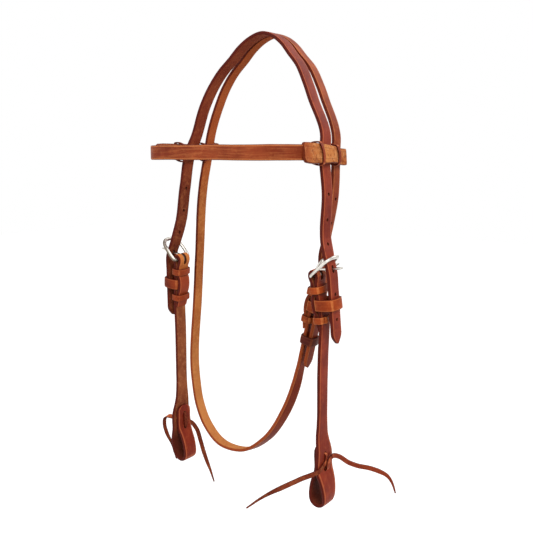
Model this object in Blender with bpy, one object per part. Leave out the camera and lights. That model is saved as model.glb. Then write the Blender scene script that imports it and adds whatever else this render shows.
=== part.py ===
"""Western headstall in harness leather: a crown strap and a throatlatch over the poll, a browband folded round
both, two buckled cheek straps that end in laced bit loops, and a third buckle on the throatlatch.
Metres, +Z up, +Y to the rear of the head, +X to the near side. The origin is under the crown strap at the poll."""

import math

import bmesh
import bpy
from mathutils import Vector

# Leather
STRAP_WIDTH = 0.016
THROAT_WIDTH = 0.013
STRAP_THICKNESS = 0.0037
EDGE_BEVEL = 0.001
FIT = 0.0003  # between pieces that touch
STEP = 0.0135  # longest facet along a strap
HOLE_DIAMETER = 0.0045
HOLE_PITCH = 0.025
OVERRUN = 0.001  # how far a cutter runs past what it cuts

# Poll arch, from the browband's centre height up
ARCH_RISE = 0.1223
HALF_SPAN = 0.088
CROWN_SWEEP = 0.0213
STRAP_PITCH = 0.027
POLL_GAP = 0.001
REAR_TUCK = 0.0033
OFF_BOW = 0.003  # the off side hangs fuller, halfway down the arch
# Across, up, forward for the crown strap, forward and tucked in for the throatlatch
ARCH_SHARES = (
    (0.17, 0.965, 0.04, 0.03, 0.0),
    (0.31, 0.897, 0.11, 0.09, 0.0),
    (0.43, 0.806, 0.20, 0.16, 0.0),
    (0.565, 0.705, 0.31, 0.25, 0.0),
    (0.695, 0.554, 0.47, 0.42, 0.0),
    (0.785, 0.423, 0.59, 0.54, 0.1),
    (0.967, 0.128, 0.70, 0.76, 0.5),
    (1.0, 0.0, 1.0, 1.0, 1.0),
)

# Buckles: a horseshoe frame with its bar, and a wire tongue rolled round the bar
BAR_DIAMETER = 0.0034
CHEEK_FRAME_REACH = 0.027  # bar to the middle of the far rail
THROAT_FRAME_REACH = 0.024
FRAME_PLAY = 0.0018  # strap's edge to the inside of either leg
RAIL_WIDTH = 0.0043
RAIL_THICKNESS = 0.003
FRAME_CORNER = 0.009
BAR_CORNER = 0.0029
TONGUE_DIAMETER = 0.0026
TONGUE_LENGTH = 0.0305
TONGUE_WRAP = math.radians(285)
TONGUE_TIP_SHARE = 0.45
OCTAGON_SHARE = 0.293  # corner cut that makes a square section eight-sided
RAIL_CLEARANCE = 0.0013
BAR_CLEARANCE = 0.0005
ROLL_CLEARANCE = 0.0005
SLOT_WIDTH = 0.0042
SLOT_LENGTH = 0.0078
CHAPE_LENGTH = 0.056  # folded ply below the bar
CHAPE_SLOT_DEPTH = 0.0056  # below the bar
CHAPE_PINCH = 0.0105  # below the bar, where both plies meet
SKIVED_THICKNESS = 0.0018
SKIVE_LENGTH = 0.007

# Cheek buckles
CHEEK_BAR_SPAN = 0.0905
CHEEK_BAR_SWEEP = 0.0363
CHEEK_BAR_DROP = 0.118  # below the browband's centre
CHEEK_LEAN = math.radians(6.5)
CHEEK_PITCH = math.radians(4)  # the strap runs down and a little aft
NEAR_TILT = math.radians(47)
OFF_TILT = math.radians(39)
CHEEK_TONGUE_TILT = math.radians(79)
NEAR_STANDOFF = 0.0174  # bar to the billet's middle
OFF_STANDOFF = 0.0154
BILLET_FALL = 0.0042  # how much nearer the billet's tip lies
CHEEK_BILLET = 0.0695  # below the bar
# Billet above the cheek buckle: share of the drop, of the way out and of the way forward
CHEEK_APPROACH_SHARES = ((0.34, 0.36, 0.25), (0.695, 0.50, 0.62))

# Throatlatch buckle
THROAT_BAR_SPAN = 0.0715
THROAT_BAR_SWEEP = 0.0047
THROAT_BAR_DROP = 0.128
THROAT_LEAN = math.radians(-13)
THROAT_TILT = math.radians(27)
THROAT_TONGUE_TILT = math.radians(62)
THROAT_STANDOFF = 0.0095
THROAT_BILLET = 0.098
# Throat billet above its buckle: share of the drop, of the way in and of the way forward
THROAT_APPROACH_SHARES = ((0.35, 0.05, 0.15), (0.66, 0.70, 0.60))

# Keepers
KEEPER_THICKNESS = 0.0016
KEEPER_BEVEL = 0.0004
KEEPER_CORNER = 0.0019
KEEPER_LAP = 0.0012
UPPER_KEEPER_AT = 0.0146
UPPER_KEEPER_WIDTH = 0.0073
BILLET_KEEPER_AT = 0.0295
BILLET_KEEPER_WIDTH = 0.0115
LOWER_KEEPER_AT = 0.045
LOWER_KEEPER_WIDTH = 0.007
KEEPER_EASE = 0.0005
RUNNING_LOOP_AT = 0.067
RUNNING_LOOP_WIDTH = 0.009

# Cheek straps and bit loops
BIT_SPAN = 0.0972
OFF_BIT_SWAY = 0.005  # how far the off loop's bottom hangs in towards the head
SWAY_START_DROP = 0.275
CHEEK_SINGLE_SPAN = 0.0966
CHEEK_SINGLE_SWEEP = 0.0333
CHEEK_SINGLE_DROP = 0.200
BIT_DROP = 0.358  # browband's centre to the bottom of the bit loop
LOOP_OUTSIDE = 0.0199
LOOP_THICKNESS = 0.0034
LOOP_PLY_GAP = 0.0006
LACE_HOLE_DROP = 0.3018
LACE_HOLE_PITCH = 0.0162
FLARE_START_DROP = 0.283
FLARE_WIDTH = 0.0294
LOOP_BOTTOM_WIDTH = 0.019
LOOP_TAB_WIDTH = 0.021
LOOP_TAB_DROP = 0.292
# From the lower lace hole to the round bottom: share of the way down, of the half width
LOOP_SHARES = ((0.30, 0.50), (0.50, 0.80), (0.72, 0.98), (1.0, 1.0))

# Throat: share of the throat's half width, of its depth below the browband and of its sweep forward
THROAT_HALF = 0.0955
THROAT_DEPTH = 0.3405
THROAT_SWEEP = 0.006
OFF_THROAT_SHARES = (
    (-0.905, 0.10, -0.55),
    (-0.935, 0.365, 0.5),
    (-0.955, 0.497, 0.83),
    (-0.99, 0.787, 1.0),
    (-0.93, 0.868, 1.0),
    (-0.82, 0.936, 0.83),
    (-0.61, 0.992, 0.5),
    (-0.310, 1.0, 0.0),
    (0.060, 0.935, 0.0),
    (0.320, 0.830, 0.0),
    (0.465, 0.735, 0.0),
)

# Browband
BAND_WIDTH = 0.0148
BAND_THICKNESS = 0.0037
BAND_EASE = 0.0016
BAND_LEAN = math.radians(11.5)
BAND_SPAN = 0.092  # head's middle to either side run
BAND_FRONT_SWEEP = 0.0937
BAND_CORNER = 0.030
FLAP_REACH = 0.0345
FLAP_FLARE = 0.001
FLAP_WIDTH = 0.0168
NEAR_DROOP = 0.005  # how low the folded end hangs at its rear fold
OFF_DROOP = -0.003
FLAP_DROOP_SHARES = (0.36, 0.40, 0.5, 0.6, 0.7, 0.85)  # along the flap, from its free end
INNER_DROOP_SHARES = (0.7, 0.4, 0.2, 0.0)  # along the band inside the straps, from the fold
LACE_DROOP_SHARES = (0.72, 0.48)
# Side run: share of the way out to the corner's start, share of the way forward
BAND_SIDE_SHARES = ((0.10, 0.38), (0.38, 0.72))
REAR_UPRIGHT_SHARE = 0.6  # how much less the throatlatch's sides lean
LACE_WIDTH = 0.0027
LACE_THICKNESS = 0.0013
LACE_CORNER = 0.0016
LACE_EASE = 0.0012
LACE_CROSSING_SHARES = (0.2, 0.4, 0.6, 0.8)  # along the thong's run behind the crown strap
LACE_SETS_SHARES = (0.60, -0.51)  # of the strap pitch, either side of the crown strap's middle

# Bit laces
BIT_LACE_WIDTH = 0.005
BIT_LACE_THICKNESS = 0.0017
BIT_LACE_NECK = 0.0034  # folded narrow where it passes a hole
KNOT_REACH = 0.006
TAIL_GAP = 0.0005
TAIL_TAPER_SHARE = 0.7
TAIL_TIP_SHARE = 0.3
# Free ends of the bit laces as they lie, from the knot's end: out from the head, aft and up, in metres
NEAR_FRONT_TAIL = (
    (0.0002, -0.0037, -0.0015), (0.0001, -0.0083, -0.0029), (-0.0018, -0.0129, -0.0041),
    (-0.0055, -0.0172, -0.0059), (-0.0110, -0.0212, -0.0085), (-0.0180, -0.0259, -0.0127),
    (-0.0292, -0.0322, -0.0197), (-0.0380, -0.0370, -0.0253), (-0.0463, -0.0411, -0.0313),
    (-0.0607, -0.0480, -0.0441),
)
NEAR_REAR_TAIL = (
    (0.0, 0.0035, 0.0011), (0.0003, 0.0080, 0.0012), (0.0012, 0.0140, -0.0020),
    (0.0067, 0.0274, -0.0144), (0.0116, 0.0335, -0.0180), (0.0222, 0.0439, -0.0221),
    (0.0290, 0.0501, -0.0259), (0.0363, 0.0568, -0.0322), (0.0403, 0.0597, -0.0401),
    (0.0436, 0.0609, -0.0503),
)
OFF_FRONT_TAIL = (
    (0.0003, -0.0035, 0.0015), (0.0040, -0.0064, 0.0022), (0.0085, -0.0070, -0.0010),
    (0.0100, -0.0068, -0.0075),
    (0.0077, -0.0057, -0.0194), (0.0032, -0.0024, -0.0324), (-0.0008, 0.0009, -0.0517),
)
OFF_REAR_TAIL = (
    (0.0001, 0.0083, -0.0047), (-0.0005, 0.0153, -0.0097), (-0.0025, 0.0206, -0.0182),
    (-0.0050, 0.0246, -0.0344), (-0.0085, 0.0263, -0.0482), (-0.0125, 0.0279, -0.0607),
    (-0.0160, 0.0299, -0.0721), (-0.0200, 0.0314, -0.0858),
)

RUSSET = (0.32, 0.10, 0.045, 1.0)
MAHOGANY = (0.20, 0.055, 0.03, 1.0)
LACE_BROWN = (0.24, 0.08, 0.035, 1.0)
NICKEL = (0.78, 0.76, 0.72, 1.0)

AFT = Vector((0, 1, 0))
FORE = -AFT
UP = Vector((0, 0, 1))
BAND_HEIGHT = STRAP_THICKNESS / 2 - ARCH_RISE
PLY = (STRAP_THICKNESS + FIT) / 2  # middle of either ply of a doubled strap


class Knot:
    """One control point of a strap: its middle, the way its width runs, and its section."""

    def __init__(self, point, across, width=STRAP_WIDTH, thickness=STRAP_THICKNESS, bevel=EDGE_BEVEL):
        self.point = Vector(point)
        self.across = Vector(across)
        self.width = width
        self.thickness = thickness
        self.bevel = bevel

    def towards(self, other, share, point):
        return Knot(
            point,
            self.across.lerp(other.across, share),
            self.width + (other.width - self.width) * share,
            self.thickness + (other.thickness - self.thickness) * share,
            self.bevel + (other.bevel - self.bevel) * share,
        )


def heading(before, at, after):
    """Direction of a smooth curve at a point, leaning to its nearer neighbour."""
    first, second = at - before, after - at
    if not first.length or not second.length:
        return (after - before).normalized()
    near, far = first.length, second.length
    return (first / near * far + second / far * near) / (near + far)


def smooth(knots):
    """The knots with a smooth curve between them, no facet longer than STEP."""
    rows = []
    for i, (here, there) in enumerate(zip(knots, knots[1:])):
        before = knots[i - 1] if i else here
        after = knots[i + 2] if i + 2 < len(knots) else there
        length = (there.point - here.point).length
        leave = heading(before.point, here.point, there.point) * length
        arrive = heading(here.point, there.point, after.point) * length
        pieces = max(1, math.ceil(length / STEP))
        for j in range(pieces):
            t = j / pieces
            rest = 1 - t
            point = (
                here.point * (1 + 2 * t) * rest**2
                + leave * t * rest**2
                + there.point * t**2 * (3 - 2 * t)
                - arrive * t**2 * rest
            )
            rows.append(here.towards(there, t, point))
    return rows + [knots[-1]]


def section(row, along):
    """Eight corners of a strap's section, square to the way it runs."""
    across = (row.across - along * row.across.dot(along)).normalized()
    normal = along.cross(across)
    half, deep = row.width / 2, row.thickness / 2
    bevel = min(row.bevel, half * 0.6, deep * 0.6)
    corners = (
        (half, deep - bevel), (half - bevel, deep), (bevel - half, deep), (-half, deep - bevel),
        (-half, bevel - deep), (bevel - half, -deep), (half - bevel, -deep), (half, bevel - deep),
    )
    return [row.point + across * x + normal * y for x, y in corners]


def sweep(name, rows, closed=False):
    """A mesh along the rows, capped at both ends unless it closes on itself."""
    body = bmesh.new()
    count = len(rows)
    rings = []
    for i, row in enumerate(rows):
        before = rows[i - 1] if i or closed else row
        after = rows[(i + 1) % count] if i + 1 < count or closed else row
        along = heading(before.point, row.point, after.point).normalized()
        rings.append([body.verts.new(corner) for corner in section(row, along)])
    sides = len(rings[0])
    for i in range(count if closed else count - 1):
        ring, following = rings[i], rings[(i + 1) % count]
        for k in range(sides):
            body.faces.new((ring[k], ring[(k + 1) % sides], following[(k + 1) % sides], following[k]))
    if not closed:
        body.faces.new(rings[0])
        body.faces.new(rings[-1])
    bmesh.ops.recalc_face_normals(body, faces=body.faces)
    mesh = bpy.data.meshes.new(name)
    body.to_mesh(mesh)
    body.free()
    return mesh


def finish(name, colour, roughness, metallic=0.0):
    material = bpy.data.materials.new(name)
    material.use_nodes = True
    shader = material.node_tree.nodes["Principled BSDF"]
    shader.inputs["Base Color"].default_value = colour
    shader.inputs["Roughness"].default_value = roughness
    shader.inputs["Metallic"].default_value = metallic
    return material


def empty_at(name, place):
    helper = bpy.data.objects.new(name, None)
    helper.location = place
    bpy.context.scene.collection.objects.link(helper)
    return helper


def add(name, mesh, material, carrier, pivot=None):
    """An object whose origin is its carrier's place, or its own pivot where it turns."""
    origin = Vector(carrier.location) if pivot is None else Vector(pivot)
    for vertex in mesh.vertices:
        vertex.co -= origin
    piece = bpy.data.objects.new(name, mesh)
    piece.parent = carrier
    piece.location = origin - Vector(carrier.location)
    bpy.context.scene.collection.objects.link(piece)
    mesh.materials.append(material)
    mesh.shade_smooth()
    mesh.set_sharp_from_angle(angle=math.radians(32))
    return piece


def punch(piece, cutters):
    """Cuts a strap with one hidden cutter made of several prisms: middle, along, normal, length, width, depth."""
    body = bmesh.new()
    for middle, along, normal, length, width, depth in cutters:
        across = along.cross(normal).normalized()
        radius = width / 2
        reach = length / 2 - radius
        rim = []
        for k in range(12):
            turn = math.radians(30 * k + 15)
            shift = math.copysign(reach, math.sin(turn))
            rim.append(along * (math.sin(turn) * radius + shift) + across * (math.cos(turn) * radius))
        ends = [
            [body.verts.new(middle + point + normal * side * depth / 2) for point in rim] for side in (-1, 1)
        ]
        for k in range(12):
            following = (k + 1) % 12
            body.faces.new((ends[0][k], ends[0][following], ends[1][following], ends[1][k]))
        for end in ends:
            body.faces.new(end)
    bmesh.ops.recalc_face_normals(body, faces=body.faces)
    mesh = bpy.data.meshes.new(f"{piece.name}_cutter_{len(piece.modifiers)}")
    body.to_mesh(mesh)
    body.free()
    cutter = bpy.data.objects.new(mesh.name, mesh)
    cutter.hide_render = True
    cutter.display_type = "WIRE"
    bpy.context.scene.collection.objects.link(cutter)
    cut = piece.modifiers.new("holes", "BOOLEAN")
    cut.operation = "DIFFERENCE"
    cut.object = cutter


class Station:
    """A buckle's own frame: out from the head, up, and aft of its bar; or down along its leaning strap."""

    def __init__(self, side, bar, width, reach, lean, pitch, tilt, tongue_tilt, standoff, fall):
        self.side = side
        self.bar = Vector(bar)
        self.width = width
        self.reach = reach
        self.lean = lean
        self.aft = Vector((0, math.cos(pitch), math.sin(pitch)))
        self.up = Vector((0, -math.sin(pitch), math.cos(pitch)))
        self.tilt = tilt
        self.tongue_tilt = tongue_tilt
        self.standoff = standoff
        self.fall = fall

    def place(self, out, up, aft=0.0):
        return self.bar + Vector((self.side * out, 0, 0)) + self.aft * aft + self.up * up

    def leaning(self, down, normal, aft=0.0):
        out = down * math.sin(self.lean) + normal * math.cos(self.lean)
        up = normal * math.sin(self.lean) - down * math.cos(self.lean)
        return self.place(out, up, aft)

    def billet_depth(self, down):
        """How far the hanging billet's middle stands off the bar's line, below the bar."""
        return self.standoff - self.fall * down

    def down(self):
        return (self.leaning(1.0, 0.0) - self.bar).normalized()

    def out(self):
        return (self.leaning(0.0, 1.0) - self.bar).normalized()

    def under_rail(self):
        """Middle of a billet that passes just inside the far rail."""
        near = self.reach - RAIL_WIDTH / 2
        sine, cosine = math.sin(self.tilt), math.cos(self.tilt)
        out = near * sine - RAIL_THICKNESS / 2 * cosine - STRAP_THICKNESS / 2 - RAIL_CLEARANCE
        return out, near * cosine + RAIL_THICKNESS / 2 * sine

    def tongue_line(self):
        """Where the straight part of the tongue starts, and its direction, as out and up."""
        roll = (BAR_DIAMETER + TONGUE_DIAMETER) / 2 + ROLL_CLEARANCE
        sine, cosine = math.sin(self.tongue_tilt), math.cos(self.tongue_tilt)
        return (-cosine * roll, sine * roll), (sine, cosine)


def buckle_frame(station):
    """The frame as one closed loop: a round bar that widens into flat rails with rounded far corners."""
    half = station.width / 2 + FRAME_PLAY + RAIL_WIDTH / 2
    sine, cosine = math.sin(station.tilt), math.cos(station.tilt)
    face = station.place(cosine, -sine) - station.bar
    octagon = BAR_DIAMETER * OCTAGON_SHARE

    def row(aft, reach, round_share):
        wide = RAIL_WIDTH + (BAR_DIAMETER - RAIL_WIDTH) * round_share
        thick = RAIL_THICKNESS + (BAR_DIAMETER - RAIL_THICKNESS) * round_share
        return Knot(station.place(reach * sine, reach * cosine, aft), face, thick, wide, octagon)

    rows = [row(0.0, 0.0, 1.0)]
    bar_end = half - BAR_CORNER
    rows.append(row(bar_end, 0.0, 1.0))
    for turn in (30, 60, 90):
        round_x, round_y = math.sin(math.radians(turn)), math.cos(math.radians(turn))
        rows.append(row(bar_end + BAR_CORNER * round_x, BAR_CORNER * (1 - round_y), 1 - turn / 90))
    shoulder = station.reach - FRAME_CORNER
    inner = half - FRAME_CORNER
    for turn in (0, 18, 36, 54, 72, 90):
        round_x, round_y = math.cos(math.radians(turn)), math.sin(math.radians(turn))
        rows.append(row(inner + FRAME_CORNER * round_x, shoulder + FRAME_CORNER * round_y, 0.0))
    mirrored = [
        Knot(
            knot.point - station.aft * 2 * (knot.point - station.bar).dot(station.aft),
            knot.across, knot.width, knot.thickness, knot.bevel,
        )
        for knot in rows[:0:-1]
    ]
    return rows + mirrored


def buckle_tongue(station):
    """Wire rolled round the bar, then straight to a blunt, slightly narrowed tip."""
    roll = (BAR_DIAMETER + TONGUE_DIAMETER) / 2 + ROLL_CLEARANCE
    start, direction = station.tongue_line()
    octagon = TONGUE_DIAMETER * OCTAGON_SHARE

    def row(out, up, share=1.0):
        size = TONGUE_DIAMETER * share
        return Knot(station.place(out, up), station.aft, size, size, octagon * share)

    rows = []
    leave = math.atan2(start[1], start[0])
    turns = 14
    for k in range(turns, 0, -1):
        turn = leave + TONGUE_WRAP * k / turns
        rows.append(row(roll * math.cos(turn), roll * math.sin(turn)))
    for share, size in ((0.0, 1.0), (0.5, 1.0), (0.86, 0.95), (0.97, 0.75), (1.0, TONGUE_TIP_SHARE)):
        reach = TONGUE_LENGTH * share
        rows.append(row(start[0] + direction[0] * reach, start[1] + direction[1] * reach, size))
    return rows


def keeper(station, at, width, low, high, lap=False):
    """A leather band round everything between two depths, square to the leaning strap."""
    near = low - FIT - KEEPER_THICKNESS / 2
    far = high + FIT + KEEPER_THICKNESS / 2
    edge = station.width / 2 + FIT + KEEPER_THICKNESS / 2
    inner_edge = edge - KEEPER_CORNER
    centres = (
        (far - KEEPER_CORNER, inner_edge, 0), (near + KEEPER_CORNER, inner_edge, 90),
        (near + KEEPER_CORNER, -inner_edge, 180), (far - KEEPER_CORNER, -inner_edge, 270),
    )
    rows = []
    for depth, aft, first in centres:
        for turn in (first, first + 45, first + 90):
            cosine, sine = math.cos(math.radians(turn)), math.sin(math.radians(turn))
            place = station.leaning(at, depth + KEEPER_CORNER * cosine, aft + KEEPER_CORNER * sine)
            rows.append(Knot(place, station.down(), width, KEEPER_THICKNESS, KEEPER_BEVEL))
    if lap:
        # The cut end lies on top of the band, forward of the middle of its outer face
        for share, rise in ((0.62, 0.0), (0.60, 1.0), (0.12, 1.0), (0.10, 0.0)):
            place = station.leaning(at, far + KEEPER_LAP / 2 * rise, -inner_edge * share)
            rows.append(Knot(place, station.down(), width, KEEPER_THICKNESS + KEEPER_LAP * rise, KEEPER_BEVEL))
    return rows


def chape(station, ring_between):
    """Leaning rows of a doubled strap from its skived end, up, round the bar and down to the lower keeper."""

    def row(down, normal, thickness=STRAP_THICKNESS):
        return Knot(station.leaning(down, normal), station.aft, station.width, thickness)

    parting = KEEPER_THICKNESS + FIT if ring_between else 0.0
    apart = BILLET_KEEPER_WIDTH / 2 + FIT
    above, below = BILLET_KEEPER_AT - apart, BILLET_KEEPER_AT + apart
    upper_edge = UPPER_KEEPER_AT + UPPER_KEEPER_WIDTH / 2
    lower_edge = LOWER_KEEPER_AT - LOWER_KEEPER_WIDTH / 2
    skived = (SKIVED_THICKNESS + FIT) / 2
    rows = [row(CHAPE_LENGTH, -skived, SKIVED_THICKNESS), row(CHAPE_LENGTH - SKIVE_LENGTH, -PLY)]
    for k in range(4):
        share = k / 3
        ease = share * share * (3 - 2 * share)
        rows.append(row(lower_edge + (below - lower_edge) * share, -PLY - parting * ease))
    for k in range(4):
        share = k / 3
        ease = share * share * (3 - 2 * share)
        rows.append(row(above + (upper_edge - above) * share, -PLY - parting * (1 - ease)))
    turn_radius = BAR_DIAMETER / 2 + BAR_CLEARANCE + STRAP_THICKNESS / 2
    narrowing = ((1.0, 0.0), (0.75, 0.1), (0.5, 0.5), (0.25, 0.87))
    for share, open_share in narrowing:
        rows.append(row(CHAPE_PINCH * share, -PLY - (turn_radius - PLY) * open_share))
    for k in range(7):
        turn = math.radians(30 * k - 90)
        rows.append(row(-turn_radius * math.cos(turn), turn_radius * math.sin(turn)))
    for share, open_share in reversed(narrowing):
        rows.append(row(CHAPE_PINCH * share, PLY + (turn_radius - PLY) * open_share))
    rows.append(row(LOWER_KEEPER_AT, PLY))
    return rows


def chape_slot(station):
    """Cutter for the slot in the fold that the tongue's roll turns in."""
    reach = BAR_DIAMETER / 2 + BAR_CLEARANCE + STRAP_THICKNESS + FIT
    length = CHAPE_SLOT_DEPTH + reach + OVERRUN
    middle = station.leaning(CHAPE_SLOT_DEPTH - length / 2, 0.0)
    return middle, station.down(), station.out(), length, SLOT_WIDTH, reach * 2


def crossing(rows, station):
    """Where a billet meets the tongue: point, direction and normal."""
    start, direction = station.tongue_line()
    origin = station.place(*start)
    forward = (station.place(start[0] + direction[0], start[1] + direction[1]) - origin).normalized()
    square = station.aft.cross(forward)
    for here, there in zip(rows, rows[1:]):
        first = (here.point - origin).dot(square)
        second = (there.point - origin).dot(square)
        if first * second <= 0 and (here.point - origin).dot(forward) > 0:
            share = first / (first - second)
            along = (there.point - here.point).normalized()
            return here.point.lerp(there.point, share), along, along.cross(AFT).normalized()
    raise ValueError("the tongue misses its billet")


def along_rows(rows, start, distance):
    """Point, direction and normal at a distance along the rows from the point nearest to start."""
    nearest = min(range(len(rows)), key=lambda i: (rows[i].point - start).length)
    step = 1 if distance > 0 else -1
    left = abs(distance) + (rows[nearest].point - start).length * (
        1 if (rows[nearest].point - start).dot(rows[nearest + step].point - rows[nearest].point) < 0 else -1
    )
    i = nearest
    while 0 <= i + step < len(rows):
        span = rows[i + step].point - rows[i].point
        if left <= span.length:
            along = span.normalized()
            return rows[i].point + along * left, along, along.cross(AFT).normalized()
        left -= span.length
        i += step
    raise ValueError("a hole lies past the end of its strap")


def billet_holes(rows, station, above, below):
    """The hole in use, stretched by the tongue, and the free holes either side of it."""
    point, along, normal = crossing(rows, station)
    depth = STRAP_THICKNESS + OVERRUN * 2
    cutters = [(point, along, normal, SLOT_LENGTH, SLOT_WIDTH, depth)]
    downward = 1 if along.z < 0 else -1
    for k in list(range(-above, 0)) + list(range(1, below + 1)):
        middle, way, face = along_rows(rows, point, k * downward * HOLE_PITCH)
        cutters.append((middle, way, face, HOLE_DIAMETER, HOLE_DIAMETER, depth))
    return cutters


def tip(station, down, normal, slope):
    """A billet's pointed end, ending at a distance down the strap."""
    outline = ((0.62, 1.0), (0.44, 0.88), (0.26, 0.64), (0.10, 0.36), (0.0, 0.14))
    rows = []
    for back_share, width_share in outline:
        back = station.width * back_share
        place = station.leaning(down - back, normal + slope * back)
        rows.append(Knot(place, station.aft, station.width * width_share, STRAP_THICKNESS))
    return rows


def poll_spacing():
    """Between the two straps' middles where they lie side by side over the poll."""
    return (STRAP_WIDTH + THROAT_WIDTH) / 2 + POLL_GAP


def arch(side, rear):
    """Knots from the poll, not counted, down to the browband on one side."""
    knots = []
    width = THROAT_WIDTH if rear else STRAP_WIDTH
    for across, up, crown_forward, rear_forward, tuck in ARCH_SHARES:
        bow = (4 * up * (1 - up)) ** 3
        x = HALF_SPAN * across - (REAR_TUCK * tuck if rear else 0.0) + (OFF_BOW * bow if side < 0 else 0.0)
        if rear:
            y = poll_spacing() + (STRAP_PITCH - CROWN_SWEEP - poll_spacing()) * rear_forward
        else:
            y = -CROWN_SWEEP * crown_forward
        knots.append(Knot((side * x, y, BAND_HEIGHT + ARCH_RISE * up), AFT, width))
    return knots


def cheek_station(side):
    bar = (side * CHEEK_BAR_SPAN, -CHEEK_BAR_SWEEP, BAND_HEIGHT - CHEEK_BAR_DROP)
    tilt, standoff = (NEAR_TILT, NEAR_STANDOFF) if side > 0 else (OFF_TILT, OFF_STANDOFF)
    return Station(
        side, bar, STRAP_WIDTH, CHEEK_FRAME_REACH, CHEEK_LEAN, CHEEK_PITCH, tilt, CHEEK_TONGUE_TILT,
        standoff, BILLET_FALL / CHEEK_BILLET,
    )


def crown_side(side):
    """Crown strap from just below the browband to its billet's tip."""
    station = cheek_station(side)
    out, up = station.under_rail()
    inside = station.place(out, up)
    knots = []
    for drop_share, out_share, sweep_share in CHEEK_APPROACH_SHARES:
        x = HALF_SPAN + (abs(inside.x) - HALF_SPAN) * out_share
        y = -CROWN_SWEEP - (CHEEK_BAR_SWEEP - CROWN_SWEEP) * sweep_share
        knots.append(Knot((side * x, y, BAND_HEIGHT - CHEEK_BAR_DROP * drop_share), AFT))
    knots.append(Knot(inside, station.aft))
    for down in (0.0, UPPER_KEEPER_AT, BILLET_KEEPER_AT, LOWER_KEEPER_AT):
        knots.append(Knot(station.leaning(down, station.billet_depth(down)), station.aft))
    return knots + tip(station, CHEEK_BILLET, station.billet_depth(CHEEK_BILLET), station.fall)


def crown_rows():
    poll = Knot((0, 0, STRAP_THICKNESS / 2), AFT)
    near = arch(1, False) + crown_side(1)
    off = arch(-1, False) + crown_side(-1)
    return smooth(near[::-1] + [poll] + off)


def throat_station():
    bar = (THROAT_BAR_SPAN, -THROAT_BAR_SWEEP, BAND_HEIGHT - THROAT_BAR_DROP)
    return Station(
        1, bar, THROAT_WIDTH, THROAT_FRAME_REACH, THROAT_LEAN, 0.0, THROAT_TILT, THROAT_TONGUE_TILT,
        THROAT_STANDOFF, 0.0,
    )


def throat_rows():
    """The throatlatch from its billet's tip, over the poll, down the off side, under the throat and up."""
    station = throat_station()
    out, up = station.under_rail()
    inside = station.place(out, up)
    near = arch(1, True)
    band = near[-1].point
    for drop_share, in_share, sweep_share in THROAT_APPROACH_SHARES:
        x = band.x + (inside.x - band.x) * in_share
        y = band.y - (THROAT_BAR_SWEEP + band.y) * sweep_share
        near.append(Knot((x, y, BAND_HEIGHT - THROAT_BAR_DROP * drop_share), AFT, THROAT_WIDTH))
    near.append(Knot(inside, AFT, THROAT_WIDTH))
    for down in (0.0, UPPER_KEEPER_AT, BILLET_KEEPER_AT, LOWER_KEEPER_AT, RUNNING_LOOP_AT):
        near.append(Knot(station.leaning(down, THROAT_STANDOFF), AFT, THROAT_WIDTH))
    near += tip(station, THROAT_BILLET, THROAT_STANDOFF, 0.0)
    poll = Knot((0, poll_spacing(), STRAP_THICKNESS / 2), AFT, THROAT_WIDTH)
    off = arch(-1, True)
    for across, drop, forward in OFF_THROAT_SHARES:
        place = (
            THROAT_HALF * across,
            -THROAT_BAR_SWEEP - THROAT_SWEEP * forward,
            BAND_HEIGHT - THROAT_DEPTH * drop,
        )
        off.append(Knot(place, AFT, THROAT_WIDTH))
    off.append(Knot(station.leaning(THROAT_BILLET, PLY), AFT, THROAT_WIDTH))
    off.append(Knot(station.leaning(RUNNING_LOOP_AT, PLY), AFT, THROAT_WIDTH))
    return smooth(near[::-1] + [poll] + off) + chape(station, True)[::-1]


def bit_sway(side, drop):
    """How far in the strap hangs at a drop below the browband."""
    if side > 0:
        return 0.0
    share = max(0.0, (drop - SWAY_START_DROP) / (BIT_DROP - SWAY_START_DROP))
    return OFF_BIT_SWAY * share * share


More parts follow.
